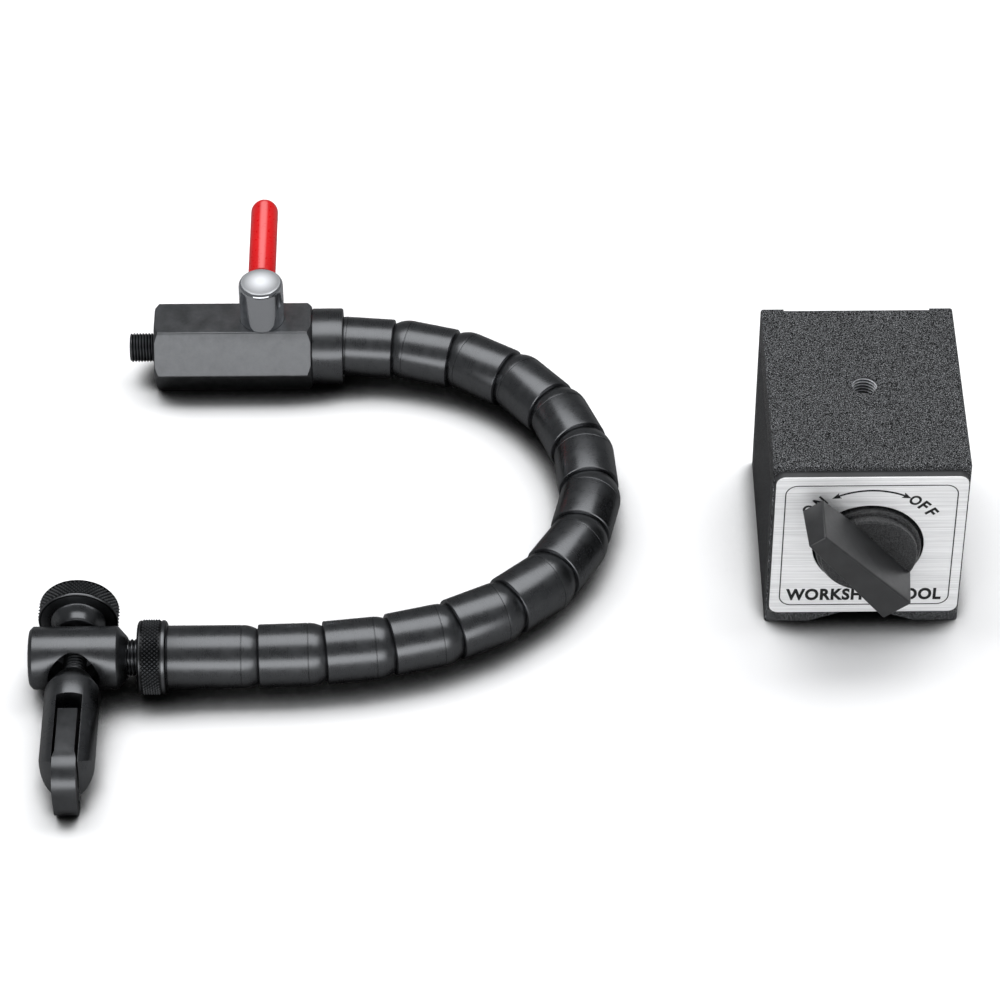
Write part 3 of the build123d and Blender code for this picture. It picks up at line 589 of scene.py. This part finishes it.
def housing_cover():
    half_x, half_y = BASE_X / 2, BASE_Y / 2
    cover = box_object("housing_cover_body", -half_x, half_x, -half_y, half_y, 0, BASE_Z)
    shell = bmesh.new()
    shell.from_mesh(cover.data)
    outer = [e for e in shell.edges if max(v.co.z for v in e.verts) > 0.001]
    bmesh.ops.bevel(shell, geom=outer, offset=0.75 * MM, segments=4, profile=0.5, affect="EDGES")
    shell.to_mesh(cover.data)
    shell.free()
    reach = half_x + 1
    combine(cover, box_object("tool", -reach, reach, -half_y + FRONT_T, half_y - REAR_T, -1, BASE_Z - TOP_T))
    reach = REAR_CHANNEL_W / 2
    combine(cover, box_object("tool", -reach, reach, half_y - REAR_CHANNEL_D, half_y + 1, -1, BASE_Z + 1))
    vee = [(-VEE_W / 2, 0), (0, VEE_D), (VEE_W / 2, 0), (0, -VEE_D)]
    combine(cover, prism("tool", vee, -half_y - 1, half_y + 1))
    combine(cover, bar(UPRIGHT, BASE_Z - TOP_T - 1, BASE_Z - HOLE_SKIN, SEAT_R))
    combine(cover, bar(UPRIGHT, BASE_Z - 1, BASE_Z + 1, HOLE_R))
    to_rear = along((0, 0, ROTOR_Z), (0, 1, 0))
    combine(cover, bar(to_rear, -half_y - 1, -half_y + FRONT_T + 1, OPENING_R))
    combine(cover, bar(to_rear, half_y - REAR_T - 1, half_y - 2.5, JOURNAL_R))
    finish(cover, "magnetic_base", CRACKLE, ["housing_cover"], 40)


def tapped_hole():
    """Bright cut thread under the paint in the middle of the top."""
    depth = BASE_Z - TOP_T
    top = BASE_Z - HOLE_SKIN
    rows = [(depth, SEAT_R), (top, SEAT_R)]
    cut = thread(depth + 0.1, top, 3.85, 0.80, 1.0, 72, 12)
    rows += [(points, None) for points, _ in reversed(cut)]
    rows += [(depth, 3.4)]
    sleeve = turned("tapped_hole", rows, UPRIGHT, 72, wrap=True)
    finish(sleeve, "magnetic_base", BRIGHT)


def rounded_rectangle(width, height, radius, steps=8):
    points = []
    for quarter in range(4):
        cx = (width / 2 - radius) * (1 if quarter in (0, 3) else -1)
        cz = (height / 2 - radius) * (1 if quarter in (0, 1) else -1)
        for i in range(steps + 1):
            angle = math.radians(90 * quarter + 90 * i / steps)
            points.append((cx + radius * math.cos(angle), ROTOR_Z + cz + radius * math.sin(angle)))
    return points


INK_BACK = LABEL_Y + 0.02
INK_FRONT = LABEL_Y - 0.03


def on_label(radius, degrees):
    """Point (x, z) on a circle about the switch, from +X towards +Z."""
    angle = math.radians(degrees)
    return radius * math.cos(angle), ROTOR_Z + radius * math.sin(angle)


def inked(obj):
    finish(obj, "magnetic_base", INK)


def lettering(name, text, size, bold=0.0, spacing=1.0):
    """Flat raised lettering as a mesh in its own plane, in metres."""
    curve = bpy.data.curves.new(name, "FONT")
    curve.body = text
    curve.size = size * MM
    curve.offset = bold * MM
    curve.space_character = spacing
    curve.extrude = (INK_BACK - INK_FRONT) / 2 * MM
    curve.align_x = "CENTER"
    curve.resolution_u = 4
    source = bpy.data.objects.new(name + "_curve", curve)
    bpy.context.collection.objects.link(source)
    bpy.context.view_layer.update()
    graph = bpy.context.evaluated_depsgraph_get()
    mesh = bpy.data.meshes.new_from_object(source.evaluated_get(graph))
    bpy.data.objects.remove(source)
    obj = bpy.data.objects.new(name, mesh)
    bpy.context.collection.objects.link(obj)
    return obj


def place_lettering(obj, width, height, centre_x, base_z, turn=0.0):
    """Fit lettering to a size and set it on the label, upright at turn 0."""
    low = Vector([min(v.co[i] for v in obj.data.vertices) for i in range(3)])
    high = Vector([max(v.co[i] for v in obj.data.vertices) for i in range(3)])
    span = high - low
    fit = Matrix.Diagonal((width * MM / span.x, height * MM / span.y, 1, 1))
    shift = Matrix.Translation((-(low.x + high.x) / 2, -low.y, 0))
    upright = Matrix.Rotation(math.radians(90), 4, "X")
    spin = Matrix.Rotation(math.radians(-turn), 4, "Y")
    spot = Matrix.Translation((centre_x * MM, (INK_BACK + INK_FRONT) / 2 * MM, base_z * MM))
    obj.data.transform(spot @ spin @ upright @ fit @ shift)
    weld(obj.data)
    inked(obj)


def label_print():
    border_w, border_h, line = 43.4, 42.2, 0.3
    outer = rounded_rectangle(border_w + line, border_h + line, 3.2)
    inner = rounded_rectangle(border_w - line, border_h - line, 2.9)
    inked(band("label_border", outer, inner, INK_BACK, INK_FRONT))
    radius, half, reach, head = 19.4, 0.27, 31.0, 7.0
    notch = head * 0.8       # the arrowheads are notched at the back
    turns = [90 - reach + notch + 2 * (reach - notch) * i / 40 for i in range(41)]
    path = [on_label(radius + half, turn) for turn in turns]
    path += [on_label(radius - half, turn) for turn in reversed(turns)]
    inked(prism("label_arc", path, INK_BACK, INK_FRONT))
    for side, name in ((1, "label_arrow_left"), (-1, "label_arrow_right")):
        corners = [on_label(radius, 90 + side * reach), on_label(radius + 1.0, 90 + side * (reach - head)),
                   on_label(radius, 90 + side * (reach - notch)),
                   on_label(radius - 1.0, 90 + side * (reach - head))]
        inked(prism(name, corners, INK_BACK, INK_FRONT))
    cap_height = 3.3
    widths = {"O": 3.0, "N": 2.6, "F": 2.0}
    for word, middle, step, out in (("ON", 135.1, 11.0, 0.8), ("OFF", 46.0, 9.0, 0.0)):
        for index, letter in enumerate(word):
            turn = middle - (index - (len(word) - 1) / 2) * step
            glyph = lettering(f"label_{word.lower()}_{index}", letter, 4, 0.13)
            x, z = on_label(radius - cap_height / 2 + out, turn)
            place_lettering(glyph, widths[letter], cap_height, x, z, turn - 90)
    title = lettering("label_title", "WORKSHOP TOOL", 5, 0.2, 1.1)
    place_lettering(title, 39.9, 4.2, -0.15, 10.0)


# ---------------------------------------------------------------- arm, block end
BLOCK_LINE = along((0, ARM_Y, AXIS_Z), (1, 0, 0))
CAM_LINE = along((CAM_X, ARM_Y, 0), (0, 0, 1), (0, 1, 0))


def hex_block():
    corner_r = HEX_AF / math.sqrt(3)
    corners = [(corner_r * math.cos(math.radians(60 * i)), corner_r * math.sin(math.radians(60 * i)))
               for i in range(6)]
    verts = [(x, y, z) for x in (HEX_X0, HEX_X1) for y, z in corners]
    faces = [list(range(6)), list(range(6, 12))]
    faces += [(i, (i + 1) % 6, 6 + (i + 1) % 6, 6 + i) for i in range(6)]
    block = mesh_object("hex_block_body", verts, faces, BLOCK_LINE)
    bevel(block, 0.3, 30, 3)
    end_r = HEX_AF / 2 + 0.2
    run = (corner_r - end_r) * math.tan(math.radians(60)) / 2
    cone = turned("tool", [(HEX_X0, 0), (HEX_X0, end_r), (HEX_X0 + run, corner_r + 0.01),
                           (HEX_X1 - run, corner_r + 0.01), (HEX_X1, end_r), (HEX_X1, 0)], BLOCK_LINE, 128)
    combine(block, cone, "INTERSECT")
    bores = [
        (BLOCK_LINE, HEX_X0 - 1, HEX_X0 + STUD_IN, 3.82, 48),    # stud
        (BLOCK_LINE, -165.0, HEX_X1 + 1, 5.55, 64),              # cable puller
        (BLOCK_LINE, HEX_X1 - SPIGOT_L, HEX_X1 + 1, 7.02, 64),   # collar's spigot
        (CAM_LINE, 12.5, HEX_AF + 1, 6.05, 64),                  # cam's top
        (CAM_LINE, 4.6, AXIS_Z + 1, 3.9, 48),                    # cam's eccentric
        (CAM_LINE, -1, AXIS_Z, 2.45, 48),                        # cam's lower journal
        (CAM_LINE, -1, 2.2, 5.0, 64),                            # pocket of the clip
    ]
    for line, start, end, radius, segments in bores:
        combine(block, bar(line, start, end, radius, segments))
    finish(block, "arm_block", HEX, ["hex_block"], 28)


def base_stud():
    x0 = HEX_X0 - STUD_OUT
    rows = [(x0, 0), (x0, 3.3), (x0 + 0.04, 3.4)]
    rows += thread(x0 + 0.05, HEX_X0 - 0.4, STUD_R, 0.5, STUD_PITCH, 80, 10, lead_in=0.45, lead_out=0.5)
    rows += [(HEX_X0 - 0.35, 3.4), (HEX_X0 + 0.4, 3.4), (HEX_X0 + 0.4, 3.8), (HEX_X0 + STUD_IN, 3.8),
             (HEX_X0 + STUD_IN, 0)]
    stud = turned("base_stud_thread", rows, BLOCK_LINE, 80)
    finish(stud, "arm_block", STUD_STEEL, ["base_stud"], 50)


def socket_collar():
    back = HEX_X1 - BALLS[0].x
    lip = 1.2
    r = 10.3
    rows = [(back - SPIGOT_L, 7.0), (back, 7.0), (back, r - 0.45), (back + 0.15, r - 0.12), (back + 0.5, r),
            (-lip - 0.5, r), (-lip - 0.15, r - 0.12), (-lip, r - 0.4), (-lip, 8.75), (-3.2, 7.7)]
    rows += arc_rows(0, SOCKET_R, math.degrees(math.acos(3.25 / SOCKET_R)),
                     math.degrees(math.asin(3.2 / SOCKET_R)), 10)
    rows += [(back - SPIGOT_L, 3.2)]
    collar = turned("socket_collar_body", rows, along(BALLS[0], (1, 0, 0)), wrap=True)
    finish(collar, "arm_block", DARK, ["socket_collar"], 26)


def cam_shaft():
    rows = [(CAM_TOP, 0), (CAM_TOP - 0.02, 1.5), (CAM_TOP - 0.09, 3.0), (CAM_TOP - 0.2, 4.2),
            (CAM_TOP - 0.3, 4.9), (CAM_TOP - 0.5, 5.35), (CAM_TOP - 0.85, 5.72), (CAM_TOP - 1.3, 5.93),
            (CAM_TOP - 1.9, CAM_R), (16.3, CAM_R), (16.3, 0)]
    shaft = turned("cam_shaft_top", rows, CAM_LINE)
    finish(shaft, "cam_lever", CHROME, ["cam_shaft"], 35)
    offset = along((CAM_X, ARM_Y + 1.2, 0), (0, 0, 1), (0, 1, 0))
    rows = [(4.8, 0), (4.8, 2.5), (16.3, 2.5), (16.3, 0)]
    finish(turned("cam_shaft_eccentric", rows, offset, 48), "cam_lever", CHROME)
    rows = [(0.6, 0), (0.6, 2.2), (0.8, 2.4), (1.1, 2.4), (1.1, 1.8), (1.7, 1.8), (1.7, 2.4), (4.8, 2.4),
            (4.8, 0)]
    finish(turned("cam_shaft_journal", rows, CAM_LINE, 48), "cam_lever", CHROME)


def lever_grip():
    start = ARM_Y + CAM_R + 0.3
    end = GRIP_TIP_Y - GRIP_R
    rows = [(start, 0), (start, GRIP_R - 0.35), (start + 0.12, GRIP_R - 0.1), (start + 0.4, GRIP_R)]
    rows += list(reversed(arc_rows(end, GRIP_R, 180, 90, 12)))
    rows[-1] = (GRIP_TIP_Y, 0)
    grip = turned("lever_grip_body", rows, along((CAM_X, 0, LEVER_Z), (0, 1, 0)), 64)
    finish(grip, "cam_lever", RED, ["lever_grip"], 40)


# ---------------------------------------------------------------- arm, neck
def ball_rows():
    """Rows of a ball end and the fine line behind it, from the bore to the tube."""
    rows = [(MOUTH_END, BORE_R)] + arc_rows(0, BALL_R, math.degrees(math.asin(MOUTH_R / BALL_R)), 88.6, 16)
    return rows + [(-0.14, BALL_R - 0.01), (-0.06, BALL_R - 0.15), (0.06, BALL_R - 0.15), (0.14, BALL_R)]


def heading(index):
    if index == len(BALLS) - 1:
        return Vector((-1, 0, 0))
    return (BALLS[index + 1] - BALLS[index]).normalized()


def neck_links():
    lip = PITCH - LIP_BACK
    rows = ball_rows()
    rows += [(lip - 0.42, BALL_R), (lip - 0.2, BALL_R - 0.07), (lip - 0.04, BALL_R - 0.28),
             (lip, BALL_R - 0.5)]
    rows += arc_rows(PITCH, SOCKET_R, math.degrees(math.acos(LIP_BACK / SOCKET_R)),
                     math.degrees(math.asin(BORE_R / SOCKET_R)), 12)
    for index in range(len(BALLS) - 1):
        number = f"{index + 1:02d}"
        link = turned(f"neck_link_{number}_body", rows, along(BALLS[index], heading(index)), wrap=True)
        finish(link, f"link_{number}", DARK, [f"neck_link_{number}"], 26)


def end_sleeve():
    end = SLEEVE_END
    rows = ball_rows() + [(end - 0.3, BALL_R), (end - 0.08, BALL_R - 0.1), (end, BALL_R - 0.3), (end, 4.8),
                          (11.5, 4.8), (11.5, 2.65), (8.0, 2.65), (8.0, 1.35), (5.05, 1.35), (5.05, BORE_R)]
    sleeve = turned("end_sleeve_body", rows, CLAMP_LINE, wrap=True)
    finish(sleeve, "sleeve", DARK, ["end_sleeve"], 26)


def strand(name, place, x0, x1, body, stands_for=()):
    """Length of stranded cable."""
    rows = [(x0, 0)]
    count = max(4, round((x1 - x0) / 0.5))
    for i in range(count + 1):
        x = x0 + (x1 - x0) * i / count
        points = []
        for k in range(36):
            lobe = 0.5 - 0.5 * math.cos(6 * 2 * math.pi * k / 36 - 2 * math.pi * x / 8.0)
            points.append((x, CABLE_R - 0.22 * lobe))
        rows.append((points, None))
    rows.append((x1, 0))
    finish(turned(name, rows, place, 36), body, ROPE, stands_for)


def tension_cable():
    """One length for each tube, from its ball's mouth to just short of the next ball, clear of any bend."""
    mouth, gap, stroke = -7.2, 8.2, 0.9
    strand("cable_00", along(BALLS[0], (1, 0, 0)), -20.2, -gap - stroke, "puller", ["tension_cable"])
    for index in range(len(BALLS) - 1):
        number = f"{index + 1:02d}"
        strand(f"cable_{number}", along(BALLS[index], heading(index)), mouth, PITCH - gap, f"link_{number}")
    strand("cable_14", CLAMP_LINE, mouth, 11.2, "sleeve")


# ---------------------------------------------------------------- arm, clamp end
CLAMP_LINE = along(BALLS[-1], (-1, 0, 0))
BOLT_ORIGIN = BALLS[-1] + Vector((-CROSS_S, 0, 0))
BOLT_LINE = along(BOLT_ORIGIN, (0, -1, 0))
BOLT_PLAN = BOLT_LINE @ Matrix.Rotation(math.radians(90), 4, "X")    # prisms on it stand upright


def lock_nut():
    start = SLEEVE_END
    segments = 104
    r = NUT_R
    rows = [(start, 4.8), (start, r - 1.05), (start + 0.2, r - 0.6), (start + 0.55, r - 0.28),
            (start + 0.9, r - 0.18), (start + 1.25, r - 0.18), (start + 1.3, r - 0.42),
            (start + 1.55, r - 0.42), (start + 1.6, r - 0.38)]
    rows += knurl(start + 1.6, NUT_END - 0.9, r - 0.5, r, 8, segments)
    rows += [(NUT_END - 0.86, r - 0.22), (NUT_END - 0.5, r - 0.32), (NUT_END - 0.18, r - 0.6),
             (NUT_END, r - 1.0), (NUT_END, 4.8)]
    nut = turned("lock_nut_knurled", rows, CLAMP_LINE, segments, wrap=True)
    finish(nut, "nut", NUT_STEEL, ["lock_nut"], 24)


def clamp_stud():
    rows = [(11.6, 0), (11.6, 4.0)]
    rows += thread(11.7, 33.9, CLAMP_STUD_R, 0.5, 1.0, 80, 8, lead_in=0.6)
    rows += [(34.0, 4.2), (34.0, 0)]
    stud = turned("clamp_stud_thread", rows, CLAMP_LINE, 80)
    finish(stud, "clamp", CLAMP_STUD_STEEL, ["clamp_stud"], 50)


def clamp_body():
    drilled = 34.1
    rows = [(drilled, 0), (drilled, 4.75), (BODY_START, 4.75), (BODY_START, 5.1), (BODY_START + 0.12, 5.3),
            (BODY_FULL - 0.1, BODY_R - 0.12), (BODY_FULL + 0.06, BODY_R), (BODY_END - 1.1, BODY_R),
            (BODY_END - 0.9, BODY_R - 0.06), (BODY_END - 0.1, BODY_R - 0.86), (BODY_END, BODY_R - 1.1),
            (BODY_END, 0)]
    body = turned("clamp_body_drilled", rows, CLAMP_LINE, 128)
    combine(body, bar(BOLT_LINE, -3, BODY_R + 1, 6.6, 96))
    combine(body, bar(BOLT_LINE, -BODY_R - 1, 0, SHANK_R + 0.1, 48))
    bevel(body, 0.14, 34, 2)
    finish(body, "clamp", DARK, ["clamp_body"], 30)


def slotted_bolt():
    rows = [(KNOB_T1 + 0.4, 0), (KNOB_T1 + 0.4, 2.4)]
    rows += thread(KNOB_T1 + 0.5, 7.2, SHANK_R, 0.42, 1.0, 120, 8, lead_in=0.5)
    tip = NOSE_T + BOLT_R
    rows += [(7.3, 2.7), (7.3, 4.0), (7.5, 4.35), (12.1, 6.86), (12.4, 6.96), (12.7, BOLT_R), (tip, BOLT_R),
             (tip, 0)]
    bolt = turned("slotted_bolt_body", rows, BOLT_LINE, 120)
    nose_r = BOLT_R + 0.02
    keep = [(-20, -9), (-20, 9), (NOSE_T - 2, 9), (NOSE_T - 2, nose_r)]
    for step in range(49):
        angle = math.pi / 2 - math.pi * step / 48
        keep.append((NOSE_T + nose_r * math.cos(angle), nose_r * math.sin(angle)))
    keep += [(NOSE_T - 2, -nose_r), (NOSE_T - 2, -9)]
    combine(bolt, prism("tool", keep, -10, 10, BOLT_PLAN), "INTERSECT")
    half = SLOT_W / 2
    combine(bolt, box_object("tool", SLOT_START_T, tip + 1, -half, half, -9, 9, BOLT_LINE))
    bevel(bolt, 0.16, 24, 2)
    finish(bolt, "bolt", DARK, ["slotted_bolt"], 35)


def clamp_knob():
    segments = 116
    r = KNOB_R
    rows = [(KNOB_T1, 3.1), (KNOB_T1, r - 1.1), (KNOB_T1 + 0.1, r - 0.8), (KNOB_T1 + 0.4, r - 0.42),
            (KNOB_T1 + 0.6, r - 0.3)]
    rows += knurl(KNOB_T1 + 0.6, KNOB_T0 - 0.5, r - 0.55, r, 8, segments)
    rows += [(KNOB_T0 - 0.42, r - 0.22), (KNOB_T0 - 0.16, r - 0.3), (KNOB_T0 - 0.03, r - 0.48),
             (KNOB_T0, r - 0.7), (KNOB_T0, 6.95), (KNOB_T0 + 0.14, 6.88), (KNOB_T0 + 0.22, 6.75),
             (KNOB_T0 + 0.5, 6.5), (KNOB_T0 + 1.1, 5.9), (KNOB_T0 + 1.8, 5.5), (KNOB_T0 + 2.6, 5.22),
             (-9.15, 5.1), (-9.0, 4.95), (-9.0, 3.1)]
    knob = turned("clamp_knob_knurled", rows, BOLT_LINE, segments, wrap=True)
    finish(knob, "knob", KNOB_STEEL, ["clamp_knob"], 24)
    washer = [(-8.9, 3.1), (-8.9, 5.4), (-8.78, 5.6), (-8.22, 5.6), (-8.1, 5.4), (-8.1, 3.1)]
    finish(turned("knob_washer_ring", washer, BOLT_LINE, wrap=True), "knob", DARK_FLAT, ["knob_washer"])


def lug_outline():
    """Side view of the lug as (t, height) points: shank, rounded shoulder, flat front and rounded chin."""
    start, high = 24.4, 7.3
    shoulder = (40.2, -0.2, 7.5, range(90, -1, -5))
    chin = (41.5, -4.3, 6.2, range(0, -151, -5))
    points = [(start, -high), (start, high)]
    for t, z, radius, turns in (shoulder, chin):
        for degrees in turns:
            angle = math.radians(degrees)
            points.append((t + radius * math.cos(angle), z + radius * math.sin(angle)))
    return points


def swivel_lug():
    """Flat lug whose end is thicker, rounded and drilled for a cross pin."""
    eye_half, eye_t, eye_drop, eye_r = 3.0, 41.6, 4.9, 2.9
    lug = prism("swivel_lug_body", lug_outline(), -eye_half, eye_half, BOLT_LINE)
    for side in (-1, 1):
        flare = [(20, side * 4)]
        flare += [(20, side * 2.45), (38.3, side * 2.45), (38.9, side * 2.5), (39.6, side * 2.68),
                  (40.3, side * 2.86), (41.0, side * 2.97), (41.6, side * 3.02), (41.6, side * 4)]
        combine(lug, prism("tool", flare, -12, 12, BOLT_PLAN))
    eye = along(BOLT_ORIGIN + Vector((0, -eye_t, -eye_drop)), (1, 0, 0))
    combine(lug, bar(eye, -5, 5, eye_r, 64))
    bevel(lug, 0.3, 50, 3)
    finish(lug, "lug", DARK_FLAT, ["swivel_lug"], 30)


# ---------------------------------------------------------------- carried-over CAD nodes
CARRIED = {
    "pole_block_left": POLE,
    "pole_block_right": POLE,
    "separator_bottom": BRASS,
    "separator_top": BRASS,
    "front_panel": SMOOTH,
    "label_plate": LABEL,
    "panel_screws": STEEL,
    "stop_pin": STEEL,
    "rotor_magnet": FERRITE,
    "rotor_pole_shoes": GROUND,
    "rotor_dowels": STEEL,
    "rotor_front_cap": ZINC,
    "rotor_rear_cap": ZINC,
    "switch_knob": PLASTIC,
    "knob_pin": STEEL,
    "cam_clip": STEEL,
    "lever_rod": STEEL,
    "cable_puller": STEEL,
    "near_ferrule": STEEL,
    "far_ferrule": STEEL,
}
for node, material in CARRIED.items():
    mesh = NODES[node].data
    for index in range(len(mesh.materials)):
        mesh.materials[index] = material
joined = NODES["switch_knob"].modifiers.new("joined", "WELD")
joined.merge_threshold = SLIVER
rounding = NODES["switch_knob"].modifiers.new("rounding", "BEVEL")
rounding.width = 0.32 * MM
rounding.segments = 3
rounding.limit_method = "ANGLE"
rounding.angle_limit = math.radians(38)

housing_cover()
tapped_hole()
label_print()
hex_block()
base_stud()
socket_collar()
cam_shaft()
lever_grip()
neck_links()
end_sleeve()
tension_cable()
lock_nut()
clamp_stud()
clamp_body()
slotted_bolt()
clamp_knob()
swivel_lug()

# ---------------------------------------------------------------- studio, in metres
TARGET = Vector((-0.09298, 0.01597, 0.0))    # point the lights aim at


def floor():
    """Near-white floor with painted contact shadows, darker where something stands close over it, and
    painted darker still where it is seen in reflections.
    """
    f = Finish("studio_floor", Specular_IOR_Level=0.1)
    # painted shadow: two ambient-occlusion readings darken the floor's colour near anything over it
    wide = f.node("ShaderNodeAmbientOcclusion", Distance=0.04)
    near = f.node("ShaderNodeAmbientOcclusion", Distance=0.009)
    wide.samples = near.samples = 12
    shade = f.math("MULTIPLY", f.spread(wide.outputs["AO"], 0.03, 1.0, 0.27, 0.50),
                   f.spread(near.outputs["AO"], 0.05, 1.0, 0.40, 0.78))
    # painted shade: the floor's colour drops to 15 % where it is seen in reflections
    mirrored = f.node("ShaderNodeLightPath").outputs["Is Glossy Ray"]
    shade = f.math("MULTIPLY", shade, f.spread(mirrored, 1.0, 0.15, 0.0, 1.0))
    f.set("Base Color", f.tinted(f.math("MULTIPLY", shade, 0.88), (0.985, 0.99, 1.0)))
    f.set("Roughness", f.spread(f.noise(40, 2.0), 0.75, 0.85))
    reach, drop = 3000, -0.1
    corners = [(-reach, -reach, drop), (reach, -reach, drop), (reach, reach, drop), (-reach, reach, drop)]
    plane = mesh_object("floor", corners, [(0, 1, 2, 3)])
    plane.data.materials.append(f.material)


def softbox(name, elevation, distance, width, height, radiance, glossy):
    """Area light aimed at the object. Elevation runs from the front (0) over the top (90) to the back.

    Each softbox either lights surfaces or shows up in reflections, so the two can be balanced apart.
    """
    up = math.radians(elevation)
    direction = Vector((0, -math.cos(up), math.sin(up)))
    light = bpy.data.lights.new(name, "AREA")
    light.shape = "RECTANGLE"
    light.size = width
    light.size_y = height
    light.energy = radiance * width * height * math.pi
    obj = bpy.data.objects.new(name, light)
    obj.location = TARGET + direction * distance
    obj.rotation_euler = direction.to_track_quat("Z", "Y").to_euler()
    obj.visible_camera = False
    obj.visible_glossy = glossy
    obj.visible_diffuse = not glossy
    bpy.context.collection.objects.link(obj)


floor()
softbox("top_light", 106, 1.3, 2.6, 0.85, 4.4, False)
softbox("back_light", 142, 1.6, 2.8, 0.9, 1.2, False)
softbox("front_light", 17, 1.3, 2.2, 0.75, 3.35, False)
softbox("top_reflection", 101, 1.3, 1.6, 1.05, 1.3, True)
softbox("back_reflection", 142, 1.6, 2.4, 0.9, 0.3, True)
softbox("front_reflection", 13.5, 1.3, 2.0, 0.62, 1.45, True)

world = bpy.data.worlds.new("studio")
bpy.context.scene.world = world
world.use_nodes = True
world.node_tree.nodes["Background"].inputs["Color"].default_value = (0.95, 0.97, 1.0, 1)
world.node_tree.nodes["Background"].inputs["Strength"].default_value = 0.12

camera = bpy.data.objects.new("camera", bpy.data.cameras.new("camera"))
bpy.context.collection.objects.link(camera)
view_line = Vector((0.00787, 0.72044, -0.69348))
camera.location = (-0.1021, -0.8185, 0.8032)
camera.rotation_euler = view_line.to_track_quat("-Z", "Y").to_euler()
camera.data.lens = 156.3
camera.data.sensor_width = 36
camera.data.clip_start = 0.01
bpy.context.scene.camera = camera
bpy.context.scene.view_settings.view_transform = "Standard"
